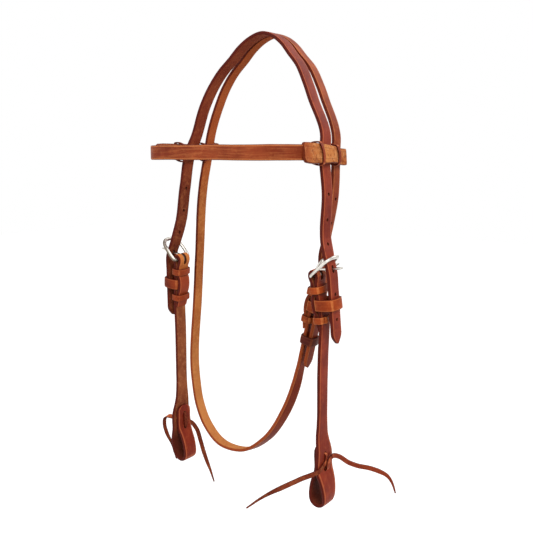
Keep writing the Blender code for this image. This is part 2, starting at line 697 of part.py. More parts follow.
def cheek_rows(side):
    """Cheek strap from its folded end at the buckle down and round the bit loop to its tab."""
    station = cheek_station(side)

    def row(x, drop, width, thickness=LOOP_THICKNESS):
        place = (side * (x - bit_sway(side, drop)), -CHEEK_SINGLE_SWEEP, BAND_HEIGHT - drop)
        return Knot(place, AFT, width, thickness)

    rows = chape(station, True)
    rows.append(row(CHEEK_SINGLE_SPAN, CHEEK_SINGLE_DROP, STRAP_WIDTH, STRAP_THICKNESS))
    rows.append(row(CHEEK_SINGLE_SPAN, FLARE_START_DROP, STRAP_WIDTH, STRAP_THICKNESS))
    closed = (LOOP_THICKNESS + LOOP_PLY_GAP) / 2
    widest = (LOOP_OUTSIDE - LOOP_THICKNESS) / 2
    lower_hole = LACE_HOLE_DROP + LACE_HOLE_PITCH
    grown = FLARE_WIDTH - STRAP_WIDTH
    flare = LACE_HOLE_DROP - FLARE_START_DROP
    for way, out_share, wide_share in ((0.35, 0.35, 0.18), (0.7, 0.8, 0.68), (1.0, 1.0, 0.97)):
        x = CHEEK_SINGLE_SPAN + (BIT_SPAN + closed - CHEEK_SINGLE_SPAN) * out_share
        rows.append(row(x, FLARE_START_DROP + flare * way, STRAP_WIDTH + grown * wide_share))
    rows.append(row(BIT_SPAN + closed, LACE_HOLE_DROP + LACE_HOLE_PITCH / 2, FLARE_WIDTH))
    rows.append(row(BIT_SPAN + closed, lower_hole, FLARE_WIDTH))
    centre = BIT_DROP - LOOP_THICKNESS / 2 - widest
    for way, open_share in LOOP_SHARES:
        x = BIT_SPAN + closed + (widest - closed) * open_share
        width = FLARE_WIDTH + (LOOP_BOTTOM_WIDTH - FLARE_WIDTH) * way * 0.8
        rows.append(row(x, lower_hole + (centre - lower_hole) * way, width))
    for turn in (30, 60, 90, 120, 150):
        x = BIT_SPAN + widest * math.cos(math.radians(turn))
        rows.append(row(x, centre + widest * math.sin(math.radians(turn)), LOOP_BOTTOM_WIDTH))
    for way, open_share in reversed(LOOP_SHARES):
        x = BIT_SPAN - closed - (widest - closed) * open_share
        rows.append(row(x, lower_hole + (centre - lower_hole) * way, LOOP_BOTTOM_WIDTH))
    rows.append(row(BIT_SPAN - closed, lower_hole, LOOP_TAB_WIDTH))
    rows.append(row(BIT_SPAN - closed, LACE_HOLE_DROP, LOOP_TAB_WIDTH))
    tab = LOOP_TAB_WIDTH / 2
    for back_share, width_share in ((0.5, 0.97), (0.26, 0.80), (0.10, 0.55), (0.0, 0.30)):
        rows.append(row(BIT_SPAN - closed, LOOP_TAB_DROP + tab * back_share, LOOP_TAB_WIDTH * width_share))
    return smooth(rows)


def behind_crown(y):
    """0 beside the crown strap and ahead of it, 1 beside the throatlatch and behind it."""
    start = STRAP_WIDTH / 2 - CROWN_SWEEP
    end = STRAP_PITCH - CROWN_SWEEP - THROAT_WIDTH / 2
    return min(1.0, max(0.0, (y - start) / (end - start)))


def band_lean(y):
    """How far the poll straps' sides lean where the browband crosses them."""
    return BAND_LEAN * (1 - REAR_UPRIGHT_SHARE * behind_crown(y))


def band_place(side, y, out, up):
    """A point beside the poll straps: out from their middle and up, both square to their lean."""
    lean = band_lean(y)
    x = HALF_SPAN - REAR_TUCK * behind_crown(y) + out * math.cos(lean) - up * math.sin(lean)
    return side * x, y, BAND_HEIGHT + out * math.sin(lean) + up * math.cos(lean)


def flap_droop(side):
    return NEAR_DROOP if side > 0 else OFF_DROOP


def band_side(side):
    """Browband from its flap's free end, back round both poll straps, then forward to the front's middle."""
    shift = STRAP_THICKNESS / 2 + BAND_EASE + BAND_THICKNESS / 2
    crown_y = -CROWN_SWEEP
    rear_y = crown_y + STRAP_PITCH
    edge = STRAP_WIDTH / 2
    rear_edge = THROAT_WIDTH / 2
    tread = FLAP_WIDTH / 8

    droop = flap_droop(side)

    def row(y, out, droop_share, width=BAND_WIDTH):
        lean = band_lean(y)
        across = (-side * math.sin(lean), 0, math.cos(lean))
        return Knot(band_place(side, y, out, -droop * droop_share), across, width, BAND_THICKNESS)

    flap_end = crown_y - FLAP_REACH
    treads = (
        (flap_end, FLAP_FLARE, 0.8), (flap_end + tread, FLAP_FLARE, 0.95), (crown_y - edge, 0.0, 1.0),
        (crown_y, 0.0, 1.0), (crown_y + edge, 0.0, 1.0), (rear_y - rear_edge, 0.0, 1.0),
    )
    rows = [
        row(y, shift + flare, droop_share, FLAP_WIDTH * width_share)
        for (y, flare, width_share), droop_share in zip(treads, FLAP_DROOP_SHARES)
    ]
    for turn in (0, 30, 60, 90, 120, 150, 180):
        y = rear_y + rear_edge + shift * math.sin(math.radians(turn))
        width = FLAP_WIDTH + (BAND_WIDTH - FLAP_WIDTH) * turn / 180
        rows.append(row(y, shift * math.cos(math.radians(turn)), 1.0, width))
    run = (rear_y - rear_edge, crown_y + edge, crown_y, crown_y - edge)
    for y, droop_share in zip(run, INNER_DROOP_SHARES):
        rows.append(row(y, -shift, droop_share))
    start = rows[-1]
    corner_y = BAND_CORNER - BAND_FRONT_SWEEP
    for out_share, ahead in BAND_SIDE_SHARES:
        x = side * start.point.x + (BAND_SPAN - side * start.point.x) * out_share
        y = start.point.y + (corner_y - start.point.y) * ahead
        z = start.point.z + (BAND_HEIGHT - start.point.z) * ahead
        rows.append(Knot((side * x, y, z), start.across.lerp(UP, ahead), BAND_WIDTH, BAND_THICKNESS))
    for turn in (0, 22.5, 45, 67.5, 90):
        x = BAND_SPAN - BAND_CORNER * (1 - math.cos(math.radians(turn)))
        y = corner_y - BAND_CORNER * math.sin(math.radians(turn))
        rows.append(Knot((side * x, y, BAND_HEIGHT), UP, BAND_WIDTH, BAND_THICKNESS))
    return rows


def band_rows():
    middle = Knot((0, -BAND_FRONT_SWEEP, BAND_HEIGHT), UP, BAND_WIDTH, BAND_THICKNESS)
    return smooth(band_side(1) + [middle] + band_side(-1)[::-1])


def band_lace_rows(side):
    """One thong wound twice round band and flap: between the two poll straps, then ahead of the crown strap."""
    shift = STRAP_THICKNESS / 2 + BAND_EASE + BAND_THICKNESS
    grip = shift + LACE_EASE + LACE_THICKNESS / 2
    outside = LACE_EASE + LACE_THICKNESS / 2 - LACE_CORNER
    rows = []

    def row(y, out, up):
        return Knot(band_place(side, y, out, up), AFT, LACE_WIDTH, LACE_THICKNESS, KEEPER_BEVEL)

    inner, rise = grip - LACE_CORNER, BAND_WIDTH / 4
    first_y, second_y = [-CROWN_SWEEP + STRAP_PITCH * share for share in LACE_SETS_SHARES]
    rows.append(row(first_y, -grip, -rise))
    for y, droop_share in zip((first_y, second_y), LACE_DROOP_SHARES):
        droop = flap_droop(side) * droop_share
        top = max(FLAP_WIDTH / 2 - droop, BAND_WIDTH / 2) + outside
        bottom = -max(FLAP_WIDTH / 2 + droop, BAND_WIDTH / 2) - outside
        if y == second_y:
            low = rows[-1].point.z - BAND_HEIGHT
            rows += [
                row(first_y + (second_y - first_y) * share, -grip, low + (rise - low) * share)
                for share in LACE_CROSSING_SHARES
            ]
        rows.append(row(y, -grip, rise))
        for out, up, first in ((-inner, top, 180), (inner, top, 90), (inner, bottom, 0), (-inner, bottom, -90)):
            for turn in (first, first - 45, first - 90):
                sine, cosine = math.sin(math.radians(turn)), math.cos(math.radians(turn))
                rows.append(row(y, out + LACE_CORNER * cosine, up + LACE_CORNER * sine))
    rows.append(row(second_y, -grip, -rise))
    return rows


def bit_lace_rows(side):
    """Thong through both lace holes: flat on the tab, both ends out to the strap's face, crossed there."""
    closed = LOOP_THICKNESS + LOOP_PLY_GAP / 2
    tab = BIT_SPAN - closed - FIT - BIT_LACE_THICKNESS / 2
    first_layer = BIT_SPAN + closed + FIT + BIT_LACE_THICKNESS / 2
    second_layer = first_layer + BIT_LACE_THICKNESS + FIT
    upper = BAND_HEIGHT - LACE_HOLE_DROP
    lower = upper - LACE_HOLE_PITCH
    knot = (upper + lower) / 2
    turn = BIT_LACE_THICKNESS
    rise = LACE_HOLE_PITCH / 6
    y = -CHEEK_SINGLE_SWEEP

    def row(x, aft, z, across, width=BIT_LACE_WIDTH):
        inward = bit_sway(side, BAND_HEIGHT - z)
        place = (side * (x - inward), y + aft * side, z)
        across = Vector((0, across.y * side, across.z))
        return Knot(place, across, width, BIT_LACE_THICKNESS, KEEPER_BEVEL)

    return [
        row(first_layer, -KNOT_REACH, knot - rise, UP),
        row(first_layer, -KNOT_REACH / 3, knot - rise / 3, UP - AFT),
        row(first_layer, 0.0, upper - turn * 2, FORE, BIT_LACE_NECK),
        row(first_layer - turn / 3, 0.0, upper - turn / 3, FORE, BIT_LACE_NECK),
        row(first_layer - turn * 1.4, 0.0, upper, FORE, BIT_LACE_NECK),
        row(BIT_SPAN, 0.0, upper, FORE, BIT_LACE_NECK),
        row(tab + turn * 1.4, 0.0, upper, FORE, BIT_LACE_NECK),
        row(tab + turn / 3, 0.0, upper - turn / 3, FORE, BIT_LACE_NECK),
        row(tab, 0.0, upper - turn * 1.6, FORE),
        row(tab, 0.0, knot, FORE),
        row(tab, 0.0, lower + turn * 1.6, FORE),
        row(tab + turn / 3, 0.0, lower + turn / 3, FORE, BIT_LACE_NECK),
        row(tab + turn * 1.4, 0.0, lower, FORE, BIT_LACE_NECK),
        row(BIT_SPAN, 0.0, lower, FORE, BIT_LACE_NECK),
        row(second_layer - turn * 1.6, 0.0, lower, FORE, BIT_LACE_NECK),
        row(second_layer - turn / 3, 0.0, lower + turn / 2, FORE, BIT_LACE_NECK),
        row(second_layer, 0.0, lower + turn * 2, FORE),
        row(second_layer, KNOT_REACH / 3, knot + rise / 3, UP - AFT),
        row(second_layer, KNOT_REACH, knot + rise, UP),
    ]


def tail_rows(end, beside, side, route, turned, turned_share):
    """Free end of a lace from the knot's end: a flat thong that turns as it leaves and narrows to its tip."""
    start = end.point + (end.point - beside.point).normalized() * TAIL_GAP
    points = [start] + [end.point + Vector((side * out, aft, up)) for out, aft, up in route]
    knots = []
    for i, point in enumerate(points):
        way = i / (len(points) - 1)
        across = end.across.normalized().lerp(turned, min(1.0, way / turned_share))
        narrowing = max(0.0, (way - TAIL_TAPER_SHARE) / (1 - TAIL_TAPER_SHARE))
        width = BIT_LACE_WIDTH * (1 - (1 - TAIL_TIP_SHARE) * narrowing)
        knots.append(Knot(point, across, width, BIT_LACE_THICKNESS, KEEPER_BEVEL))
    return smooth(knots)


def main():
    for old in list(bpy.data.objects):
        bpy.data.objects.remove(old, do_unlink=True)

    poll = empty_at("poll_mount", (0, 0, 0))
    band_slide = empty_at("browband_slide", (0, -CROWN_SWEEP, BAND_HEIGHT))
    throat_hinge = empty_at("throatlatch_hinge", (0, poll_spacing(), STRAP_THICKNESS / 2))
    sides = (("near", 1), ("off", -1))

    strap_finish = finish("strap_leather", MAHOGANY, 0.5)
    band_finish = finish("band_leather", RUSSET, 0.45)
    keeper_finish = finish("keeper_leather", RUSSET, 0.6)
    lace_finish = finish("lace_leather", LACE_BROWN, 0.55)
    metal_finish = finish("nickel_plate", NICKEL, 0.25, 1.0)

    rows = crown_rows()
    crown = add("crown_strap", sweep("crown_strap", rows), strap_finish, poll)
    holes = []
    for _, side in sides:
        half = [row for row in rows if row.point.x * side > 0]
        if side < 0:
            half = half[::-1]
        holes += billet_holes(half[::-1], cheek_station(side), 3, 2)
    punch(crown, holes)

    throat = throat_station()
    rows = throat_rows()
    strap = add("throatlatch_strap", sweep("throatlatch_strap", rows), strap_finish, throat_hinge)
    billet = [row for row in rows if row.point.x > 0][: len(rows) // 3]
    punch(strap, billet_holes(billet[::-1], throat, 3, 3))
    punch(strap, [chape_slot(throat)])

    add("browband", sweep("browband", band_rows()), band_finish, band_slide)
    for name, side in sides:
        mesh = sweep("browband_lace_" + name, band_lace_rows(side))
        add(mesh.name, mesh, lace_finish, band_slide)

    low = -PLY - STRAP_THICKNESS / 2
    high = PLY + STRAP_THICKNESS / 2
    parted = FIT / 2 - FIT * 2 - KEEPER_THICKNESS
    stations = [(name + "_", "cheek", cheek_station(side), poll) for name, side in sides]
    stations.append(("", "throat", throat, throat_hinge))
    for suffix, prefix, station, carrier in stations:
        ending = "_" + suffix[:-1] if suffix else ""
        mesh = sweep(f"{prefix}_buckle{ending}", buckle_frame(station), closed=True)
        add(mesh.name, mesh, metal_finish, carrier, station.bar)
        mesh = sweep(f"{prefix}_tongue{ending}", buckle_tongue(station))
        add(mesh.name, mesh, metal_finish, carrier, station.bar)
        mesh = sweep(
            f"{prefix}_upper_keeper{ending}",
            keeper(station, UPPER_KEEPER_AT, UPPER_KEEPER_WIDTH, low, high),
            closed=True,
        )
        add(mesh.name, mesh, keeper_finish, carrier)
        ease = KEEPER_EASE if prefix == "cheek" else 0.0
        billet_face = station.billet_depth(BILLET_KEEPER_AT) + STRAP_THICKNESS / 2 + ease
        between = parted + KEEPER_THICKNESS + FIT
        mesh = sweep(
            f"{prefix}_billet_keeper{ending}",
            keeper(station, BILLET_KEEPER_AT, BILLET_KEEPER_WIDTH, between, billet_face),
            closed=True,
        )
        add(mesh.name, mesh, keeper_finish, carrier)
        mesh = sweep(
            f"{prefix}_lower_keeper{ending}",
            keeper(station, LOWER_KEEPER_AT, LOWER_KEEPER_WIDTH, low, high, lap=True),
            closed=True,
        )
        add(mesh.name, mesh, keeper_finish, carrier)

    flat = Vector((0.8, 0.6, 0))
    tails = {
        "near": (("front", NEAR_FRONT_TAIL, UP, 1.0), ("rear", NEAR_REAR_TAIL, flat + UP / 3, 1.0)),
        "off": (("front", OFF_FRONT_TAIL, AFT, 0.4), ("rear", OFF_REAR_TAIL, flat, 0.8)),
    }
    for name, side in sides:
        station = cheek_station(side)
        rows = cheek_rows(side)
        mesh = sweep("cheek_strap_" + name, rows)
        cheek = add(mesh.name, mesh, strap_finish, poll)
        holes = [chape_slot(station)]
        for drop in (LACE_HOLE_DROP, LACE_HOLE_DROP + LACE_HOLE_PITCH):
            x = side * (BIT_SPAN - bit_sway(side, drop))
            middle = Vector((x, -CHEEK_SINGLE_SWEEP, BAND_HEIGHT - drop))
            depth = LOOP_THICKNESS * 2 + LOOP_PLY_GAP + OVERRUN * 2
            holes.append((middle, UP, Vector((1, 0, 0)), HOLE_DIAMETER, HOLE_DIAMETER, depth))
        punch(cheek, holes)
        rows = bit_lace_rows(side)
        mesh = sweep("bit_lace_" + name, rows)
        add(mesh.name, mesh, lace_finish, poll)
        ends = ((rows[0], rows[1]), (rows[-1], rows[-2]))[::side]
        for (ending, route, turned, turned_share), (end, beside) in zip(tails[name], ends):
            mesh = sweep(
                f"bit_lace_{name}_{ending}_tail", tail_rows(end, beside, side, route, turned, turned_share)
            )
            add(mesh.name, mesh, lace_finish, poll)

    billet_face = THROAT_STANDOFF + STRAP_THICKNESS / 2
    mesh = sweep(
        "throat_running_loop",
        keeper(throat, RUNNING_LOOP_AT, RUNNING_LOOP_WIDTH, FIT / 2, billet_face + FIT),
        closed=True,
    )
    add(mesh.name, mesh, keeper_finish, throat_hinge)


main()
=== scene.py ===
import math

import bmesh
import bpy
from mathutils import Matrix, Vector, noise


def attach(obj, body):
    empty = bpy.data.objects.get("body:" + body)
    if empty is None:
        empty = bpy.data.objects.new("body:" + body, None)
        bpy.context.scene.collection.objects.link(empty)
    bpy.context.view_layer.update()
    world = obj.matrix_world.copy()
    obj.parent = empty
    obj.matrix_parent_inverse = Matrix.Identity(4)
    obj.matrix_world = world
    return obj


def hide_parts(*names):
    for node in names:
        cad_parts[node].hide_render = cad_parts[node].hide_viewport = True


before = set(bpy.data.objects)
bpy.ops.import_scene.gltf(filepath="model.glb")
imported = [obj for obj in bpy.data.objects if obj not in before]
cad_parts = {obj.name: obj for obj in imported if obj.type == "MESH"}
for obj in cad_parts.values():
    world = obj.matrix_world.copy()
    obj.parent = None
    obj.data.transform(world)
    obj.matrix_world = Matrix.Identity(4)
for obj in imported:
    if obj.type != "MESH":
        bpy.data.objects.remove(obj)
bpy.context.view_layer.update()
scene = bpy.context.scene
scene.view_settings.view_transform = "Standard"
noise.seed_set(3)  # without it the leather's unevenness would change from run to run
print("frame loaded")


class Sizes(dict):
    # A dictionary whose values can be read as leather.fit too
    __getattr__ = dict.__getitem__


# Camera: near and front of the headstall, a little above the browband
cameraSetup = Sizes(
    place=(0.4646, -0.6252, -0.1205), turn=(81.0, 0.0, 36.5), lens=48.63, sensor=36.0,
)
lens = bpy.data.cameras.new("camera")
lens.lens = cameraSetup.lens
lens.sensor_width = cameraSetup.sensor
camera = bpy.data.objects.new("camera", lens)
camera.location = cameraSetup.place
camera.rotation_euler = [math.radians(angle) for angle in cameraSetup.turn]
scene.collection.objects.link(camera)
scene.camera = camera


class Wire:
    # A shader socket that takes part in sums
    tree = None

    def __init__(self, socket):
        self.socket = socket

    @classmethod
    def join(cls, value, place):
        if isinstance(value, Wire):
            cls.tree.links.new(value.socket, place)
        else:
            place.default_value = value

    @classmethod
    def make(cls, kind, inputs=(), output=0, **settings):
        node = cls.tree.nodes.new("ShaderNode" + kind)
        for key, value in settings.items():
            setattr(node, key, value)
        for key, value in dict(inputs).items():
            cls.join(value, node.inputs[key])
        return cls(node.outputs[output])

    def math(self, operation, *others):
        return self.make("Math", enumerate((self, *others)), operation=operation)

    def __add__(self, other):
        return self.math("ADD", other)

    __radd__ = __add__

    def __mul__(self, other):
        return self.math("MULTIPLY", other)

    __rmul__ = __mul__

    def __sub__(self, other):
        return self.math("SUBTRACT", other)

    def __rsub__(self, other):
        return (self * -1) + other

    def step(self, low, high):
        inputs = ((0, self), (1, low), (2, high), (3, 0.0), (4, 1.0))
        return self.make("MapRange", inputs, interpolation_type="SMOOTHSTEP")

    def blend(self, first, second):
        return self.make("Mix", ((0, self), (6, first), (7, second)), 2, data_type="RGBA")

    def scaled(self, factors):
        return self.make("VectorMath", ((0, self), (1, factors)), operation="MULTIPLY")

    def grain(self, scale, detail=3.0, roughness=0.55):
        inputs = {"Vector": self, "Scale": scale, "Detail": detail, "Roughness": roughness}
        return self.make("TexNoise", inputs)

    def split(self, *outputs):
        return [self.make("SeparateXYZ", ((0, self),), output) for output in outputs]


def coats(base, *layers):
    # Colours laid one after another over the base, each through its mask
    for mask, tint in layers:
        base = mask.blend(base, tint)
    return base


def colour(red, green, blue):
    # From the 0 to 255 numbers of a picture to light
    shares = [value / 255 for value in (red, green, blue)]
    return tuple(((share + 0.055) / 1.055) ** 2.4 for share in shares) + (1.0,)


def inLight(look):
    return Sizes({key: colour(*value) if isinstance(value, tuple) else value for key, value in look.items()})


def newMaterial(name):
    made = bpy.data.materials.new(name)
    made.use_nodes = True
    Wire.tree = made.node_tree
    return made, made.node_tree.nodes["Principled BSDF"], Wire.make("TexCoord", output="Object")


def finish(shader, tint, gloss, relief, strength, depth):
    Wire.join(tint, shader.inputs["Base Color"])
    Wire.join(gloss, shader.inputs["Roughness"])
    bump = {"Height": relief, "Strength": strength, "Distance": depth}
    Wire.join(Wire.make("Bump", bump), shader.inputs["Normal"])


# Where the leather's colour changes, painted shade among it: heights, the off side's x, and the distance from
# a cut end
zones = Sizes(
    underPoll=(-0.175, -0.11), redShade=(-0.25, -0.30), offFold=(-0.258, -0.242), paleBack=(-0.30, -0.37),
    offWarm=(-0.36, -0.32), inLoop=(-0.425, -0.455), offSide=(0.0, -0.05), cutEnd=(0.013, 0.003),
)


def leatherMaterial(name, look):
    look = inLight(look)
    made, shader, place = newMaterial(name)
    x, height = place.split(0, 2)
    across, along = Wire.make("UVMap", uv_map="lay").split(0, 1)
    skin, wide = Wire.make("UVMap", uv_map="side").split(0, 1)
    bent = Wire.make("UVMap", uv_map="bend").split(0)[0]
    onGrain, onFlesh = skin.step(0.86, 0.98), skin.step(0.16, 0.03)
    off = (across - 0.5).math("ABSOLUTE") * 2
    tone = place.grain(28.0, 4.0).step(0.32, 0.68)
    mottled = place.grain(170.0, 5.0, 0.65)
    pores = place.grain(1500.0, 2.0, 0.5)
    fibres = place.grain(620.0, 6.0, 0.75)
    lengthways = Wire.make("CombineXYZ", ((0, across * wide), (1, along * 0.05), (2, skin * 0.004)))
    streaks = lengthways.grain(900.0, 3.0, 0.6)
    crease = (off - 0.56).math("ABSOLUTE").step(0.09, 0.02) * mottled.step(0.30, 0.55) * look.crease
    offSide = x.step(*zones.offSide) * look.fold
    # Painted shade: the throatlatch's grain face turns deep red low down, where it faces away from the lamps
    shade = height.step(*zones.redShade) * look.shade

    face = coats(
        tone.blend(look.dark, look.light),
        (mottled.step(0.50, 0.78) * look.mottle, look.pale),
        (streaks.step(0.42, 0.75) * look.streak, look.pale),
        (mottled.step(0.46, 0.25) * 0.45, look.edge),
        # Paler where the leather bends tightly: stretched grain, and partly a painted sheen on the curve
        (bent.step(0.45, 1.0) * mottled.step(0.30, 0.60) * look.pull, look.pale),
        (offSide * height.step(*zones.offWarm) * 0.6, look.warm),
        (height.step(*zones.offFold) * mottled.step(0.25, 0.50) * offSide, look.tan),
        (shade, look.deepRed),
        # Painted highlight: a pale line just inside each edge of the grain face, along the bevels
        (off.step(0.72, 0.82) * off.step(0.97, 0.87) * look.bevel * mottled.step(0.20, 0.45), look.pale),
        (off.step(0.88, 0.99) * 0.75, look.edge),
    )
    back = coats(
        tone.blend(look.fleshDark, look.flesh),
        (mottled.step(0.45, 0.72) * 0.5, look.fleshPale),
        (fibres.step(0.48, 0.70) * 0.35, look.fleshPale),
        (fibres.step(0.46, 0.30) * 0.4, look.edge),
        (crease, look.edge),
        (height.step(*zones.underPoll) * look.poll, look.light),
        # Painted shade inside the bit loop: the flesh side darkens at the loop's bottom
        (height.step(*zones.inLoop) * look.deep, look.edge),
        (height.step(*zones.paleBack) * look.shade * 0.6, look.fleshPale),
        (place.grain(230.0, 2.0).step(0.56, 0.64) * look.spots, look.edge),
        (along.step(*zones.cutEnd) * look.spots, look.light),
        (off.step(0.86, 0.99) * 0.7, look.edge),
    )
    # The cut edge gets a painted highlight where the face has painted shade
    rim = coats(look.edge, (mottled.step(0.40, 0.72) * 0.35, look.dark), (shade, look.light))
    tint = coats(rim, (onGrain, face), (onFlesh, back))
    gloss = onFlesh * 0.28 + (mottled * 0.16 + look.roughness)
    relief = pores * 0.25 + mottled * 0.35 + streaks * 0.3 + onFlesh * (fibres * 1.3 - crease)
    finish(shader, tint, gloss, relief, look.bump, 0.0004)
    shader.inputs["Specular IOR Level"].default_value = 0.10
    return made


def metalMaterial(name, look):
    look = inLight(look)
    made, shader, place = newMaterial(name)
    skin = Wire.make("UVMap", uv_map="side").split(0)[0]
    cloudy = place.grain(110.0, 3.0)
    fine = place.grain(900.0, 3.0, 0.6)
    scratches = place.scaled((1.0, 0.12, 1.0)).grain(2600.0, 2.0, 0.5)
    # Tarnish: cloudy patches, and painted shade along one side of each wire's section; both take the darker
    # tone
    tarnishAndShadeMask = (cloudy.step(0.50, 0.78) * 0.35).math("MAXIMUM", skin.step(0.35, 0.05))
    gloss = tarnishAndShadeMask * 0.14 + fine * 0.10 + scratches * 0.06 + look.roughness
    finish(shader, tarnishAndShadeMask.blend(look.bright, look.tarnish), gloss, scratches * 0.5 + cloudy * 2.0, 0.12, 0.0003)
    shader.inputs["Metallic"].default_value = 1.0
    return made


# Leathers, as picture colours; bevel weighs the painted highlight along the grain face's edges
mahogany = dict(
    dark=(112, 32, 18), light=(144, 52, 30), pale=(206, 112, 68), edge=(80, 20, 10), flesh=(134, 66, 38),
    fleshDark=(104, 42, 24), fleshPale=(170, 100, 60), mottle=0.22, streak=0.10, crease=0.0, pull=0.6,
    poll=0.35, deep=0.0, shade=0.0, fold=0.0, spots=0.0, warm=(154, 66, 30), tan=(204, 122, 56),
    deepRed=(108, 28, 4), bevel=0.5, bump=0.5, roughness=0.42,
)
russet = dict(
    mahogany, dark=(124, 44, 18), light=(166, 76, 36), pale=(220, 136, 78), edge=(92, 28, 12),
    flesh=(190, 114, 58), fleshDark=(158, 84, 40), fleshPale=(208, 138, 78), poll=0.8, shade=0.75,
)
bandLook = dict(
    russet, dark=(112, 38, 16), light=(150, 64, 32), edge=(110, 42, 18), streak=0.30, poll=0.0, shade=0.0,
    crease=0.35, spots=0.5, flesh=(200, 124, 66), fleshDark=(168, 84, 38), fleshPale=(226, 166, 110),
)
# Cheek straps; deep weighs the painted shade inside the bit loop
cheekLook = dict(
    mahogany, flesh=(146, 80, 46), fleshDark=(118, 56, 32), fleshPale=(184, 118, 76), deep=0.85, fold=0.9,
)
keeperLook = dict(
    mahogany, dark=(122, 42, 16), light=(168, 70, 28), pale=(212, 124, 66), mottle=0.3, bevel=0.3,
)
# Painted shade: a darker copy of the keepers' leather for the off side's keepers, which face away from the
# lamps
shadedKeeperLook = dict(
    keeperLook, dark=(110, 36, 16), light=(146, 58, 26), pale=(190, 104, 58),
)
loopLook = dict(
    keeperLook, dark=(70, 24, 18), light=(98, 36, 24), pale=(150, 78, 48), edge=(56, 16, 12),
)
laceLook = dict(
    mahogany, dark=(104, 32, 16), light=(140, 54, 28), flesh=(122, 50, 28), fleshDark=(94, 32, 18),
    pull=0.95, bevel=0.35, roughness=0.44,
)
# Hole walls: a darker copy of the strap's leather, painted shade inside the holes
rimLook = dict(
    mahogany, dark=(96, 40, 24), light=(128, 58, 34), pale=(160, 84, 52), edge=(78, 30, 16),
    flesh=(120, 60, 36), fleshDark=(96, 42, 24), fleshPale=(150, 86, 54), bevel=0.0, roughness=0.6,
)
# Nickel: bright metal, and one darker tone for both the tarnish patches and the painted shade
nickelLook = dict(bright=(206, 202, 194), tarnish=(112, 100, 86), roughness=0.2)
finishes = {
    name: (leatherMaterial(name + "Leather", look), slot + "_leather")
    for name, slot, look in (
        ("crown", "strap", mahogany), ("cheek", "strap", cheekLook), ("throat", "strap", russet),
        ("band", "band", bandLook), ("keeper", "keeper", keeperLook), ("shadedKeeper", "keeper", shadedKeeperLook),
        ("loop", "keeper", loopLook), ("lace", "lace", laceLook),
    )
}
finishes["nickel"] = metalMaterial("nickel", nickelLook), "nickel"
holeRim = leatherMaterial("holeRim", rimLook)
print("materials made")

aftWay = Vector((0, 1, 0))
foreWay = -aftWay
upWay = Vector((0, 0, 1))
sides = (("near", 1), ("off", -1))


def sided(sizes, name, side):
    # A size that isn't the same on the near and the off side
    return sizes[("near" if side > 0 else "off") + name]


def partWay(start, end, share):
    return start + (end - start) * share


def turned(degrees):
    return math.cos(math.radians(degrees)), math.sin(math.radians(degrees))


leather = Sizes(
    strapWidth=0.016, throatWidth=0.013, thickness=0.0037, bevel=0.001, fit=0.0003, step=0.0025,
    laceHole=0.0045, billetHole=0.0034, holePitch=0.025, overrun=0.001, tightBend=0.006, fineStep=0.001,
    tailStep=0.0015, crown=0.0001, bevelShare=1.15, fullShare=0.98, sharpAngle=50, holeCorners=24,
    waves=((24.0, 0.00035), (95.0, 0.00007)),
    tipShares=((0.62, 1.0), (0.44, 0.88), (0.26, 0.64), (0.10, 0.36), (0.0, 0.14)),
)
ply = (leather.thickness + leather.fit) / 2


class Knot:
    # One control point of a strap: its middle, the way its width runs, and its section
    def __init__(
        self, point, across, width=leather.strapWidth, thickness=leather.thickness, bevel=leather.bevel
    ):
        self.point, self.across = Vector(point), Vector(across)
        self.section = self.width, self.thickness, self.bevel = width, thickness, bevel

    def towards(self, other, share, point):
        section = [partWay(mine, theirs, share) for mine, theirs in zip(self.section, other.section)]
        return Knot(point, self.across.lerp(other.across, share), *section)


def heading(before, at, after):
    first, second = at - before, after - at
    if not first.length or not second.length:
        return (after - before).normalized()
    near, far = first.length, second.length
    return (first / near * far + second / far * near) / (near + far)


def smooth(knots, step=leather.step, closed=False):
    # A smooth curve through the knots, no facet longer than the step
    rows = []
    count = len(knots)
    for i in range(count if closed else count - 1):
        here, there = knots[i], knots[(i + 1) % count]
        before = knots[i - 1] if i or closed else here
        after = knots[(i + 2) % count] if i + 2 < count or closed else there
        length = (there.point - here.point).length
        leave = heading(before.point, here.point, there.point) * length
        arrive = heading(here.point, there.point, after.point) * length
        pieces = max(1, math.ceil(length / step))
        for j in range(pieces):
            t = j / pieces
            rest = 1 - t
            point = (
                here.point * (1 + 2 * t) * rest**2
                + leave * t * rest**2
                + there.point * t**2 * (3 - 2 * t)
                - arrive * t**2 * rest
            )
            rows.append(here.towards(there, t, point))
    return rows if closed else rows + [knots[-1]]


def outline(row, spans, arc, crown):
    # Rounded section as across and depth, the grain side a little crowned
    half, deep = row.width / 2, row.thickness / 2
    radius = min(row.bevel * leather.bevelShare, half * leather.fullShare, deep * leather.fullShare)
    points = []
    for sideways, rise, start in ((1, 1, 0), (-1, 1, 90), (-1, -1, 180), (1, -1, 270)):
        for k in range(arc + 1):
            cosine, sine = turned(start + 90 * k / arc)
            x = sideways * (half - radius) + radius * cosine
            points.append((x, rise * (deep - radius) + radius * sine))
        if start in (0, 180):
            for k in range(1, spans):
                x = sideways * (half - radius) * (1 - 2 * k / spans)
                swell = crown * (1 - (x / half) ** 2)
                points.append((x, rise * (deep + swell)))
    return points


def settle(point):
    # Leather never lies dead straight; one field for all pieces keeps them clear of each other
    (slow, far), (quick, near) = leather.waves
    return point + noise.noise_vector(point * slow) * far + noise.noise_vector(point * quick) * near


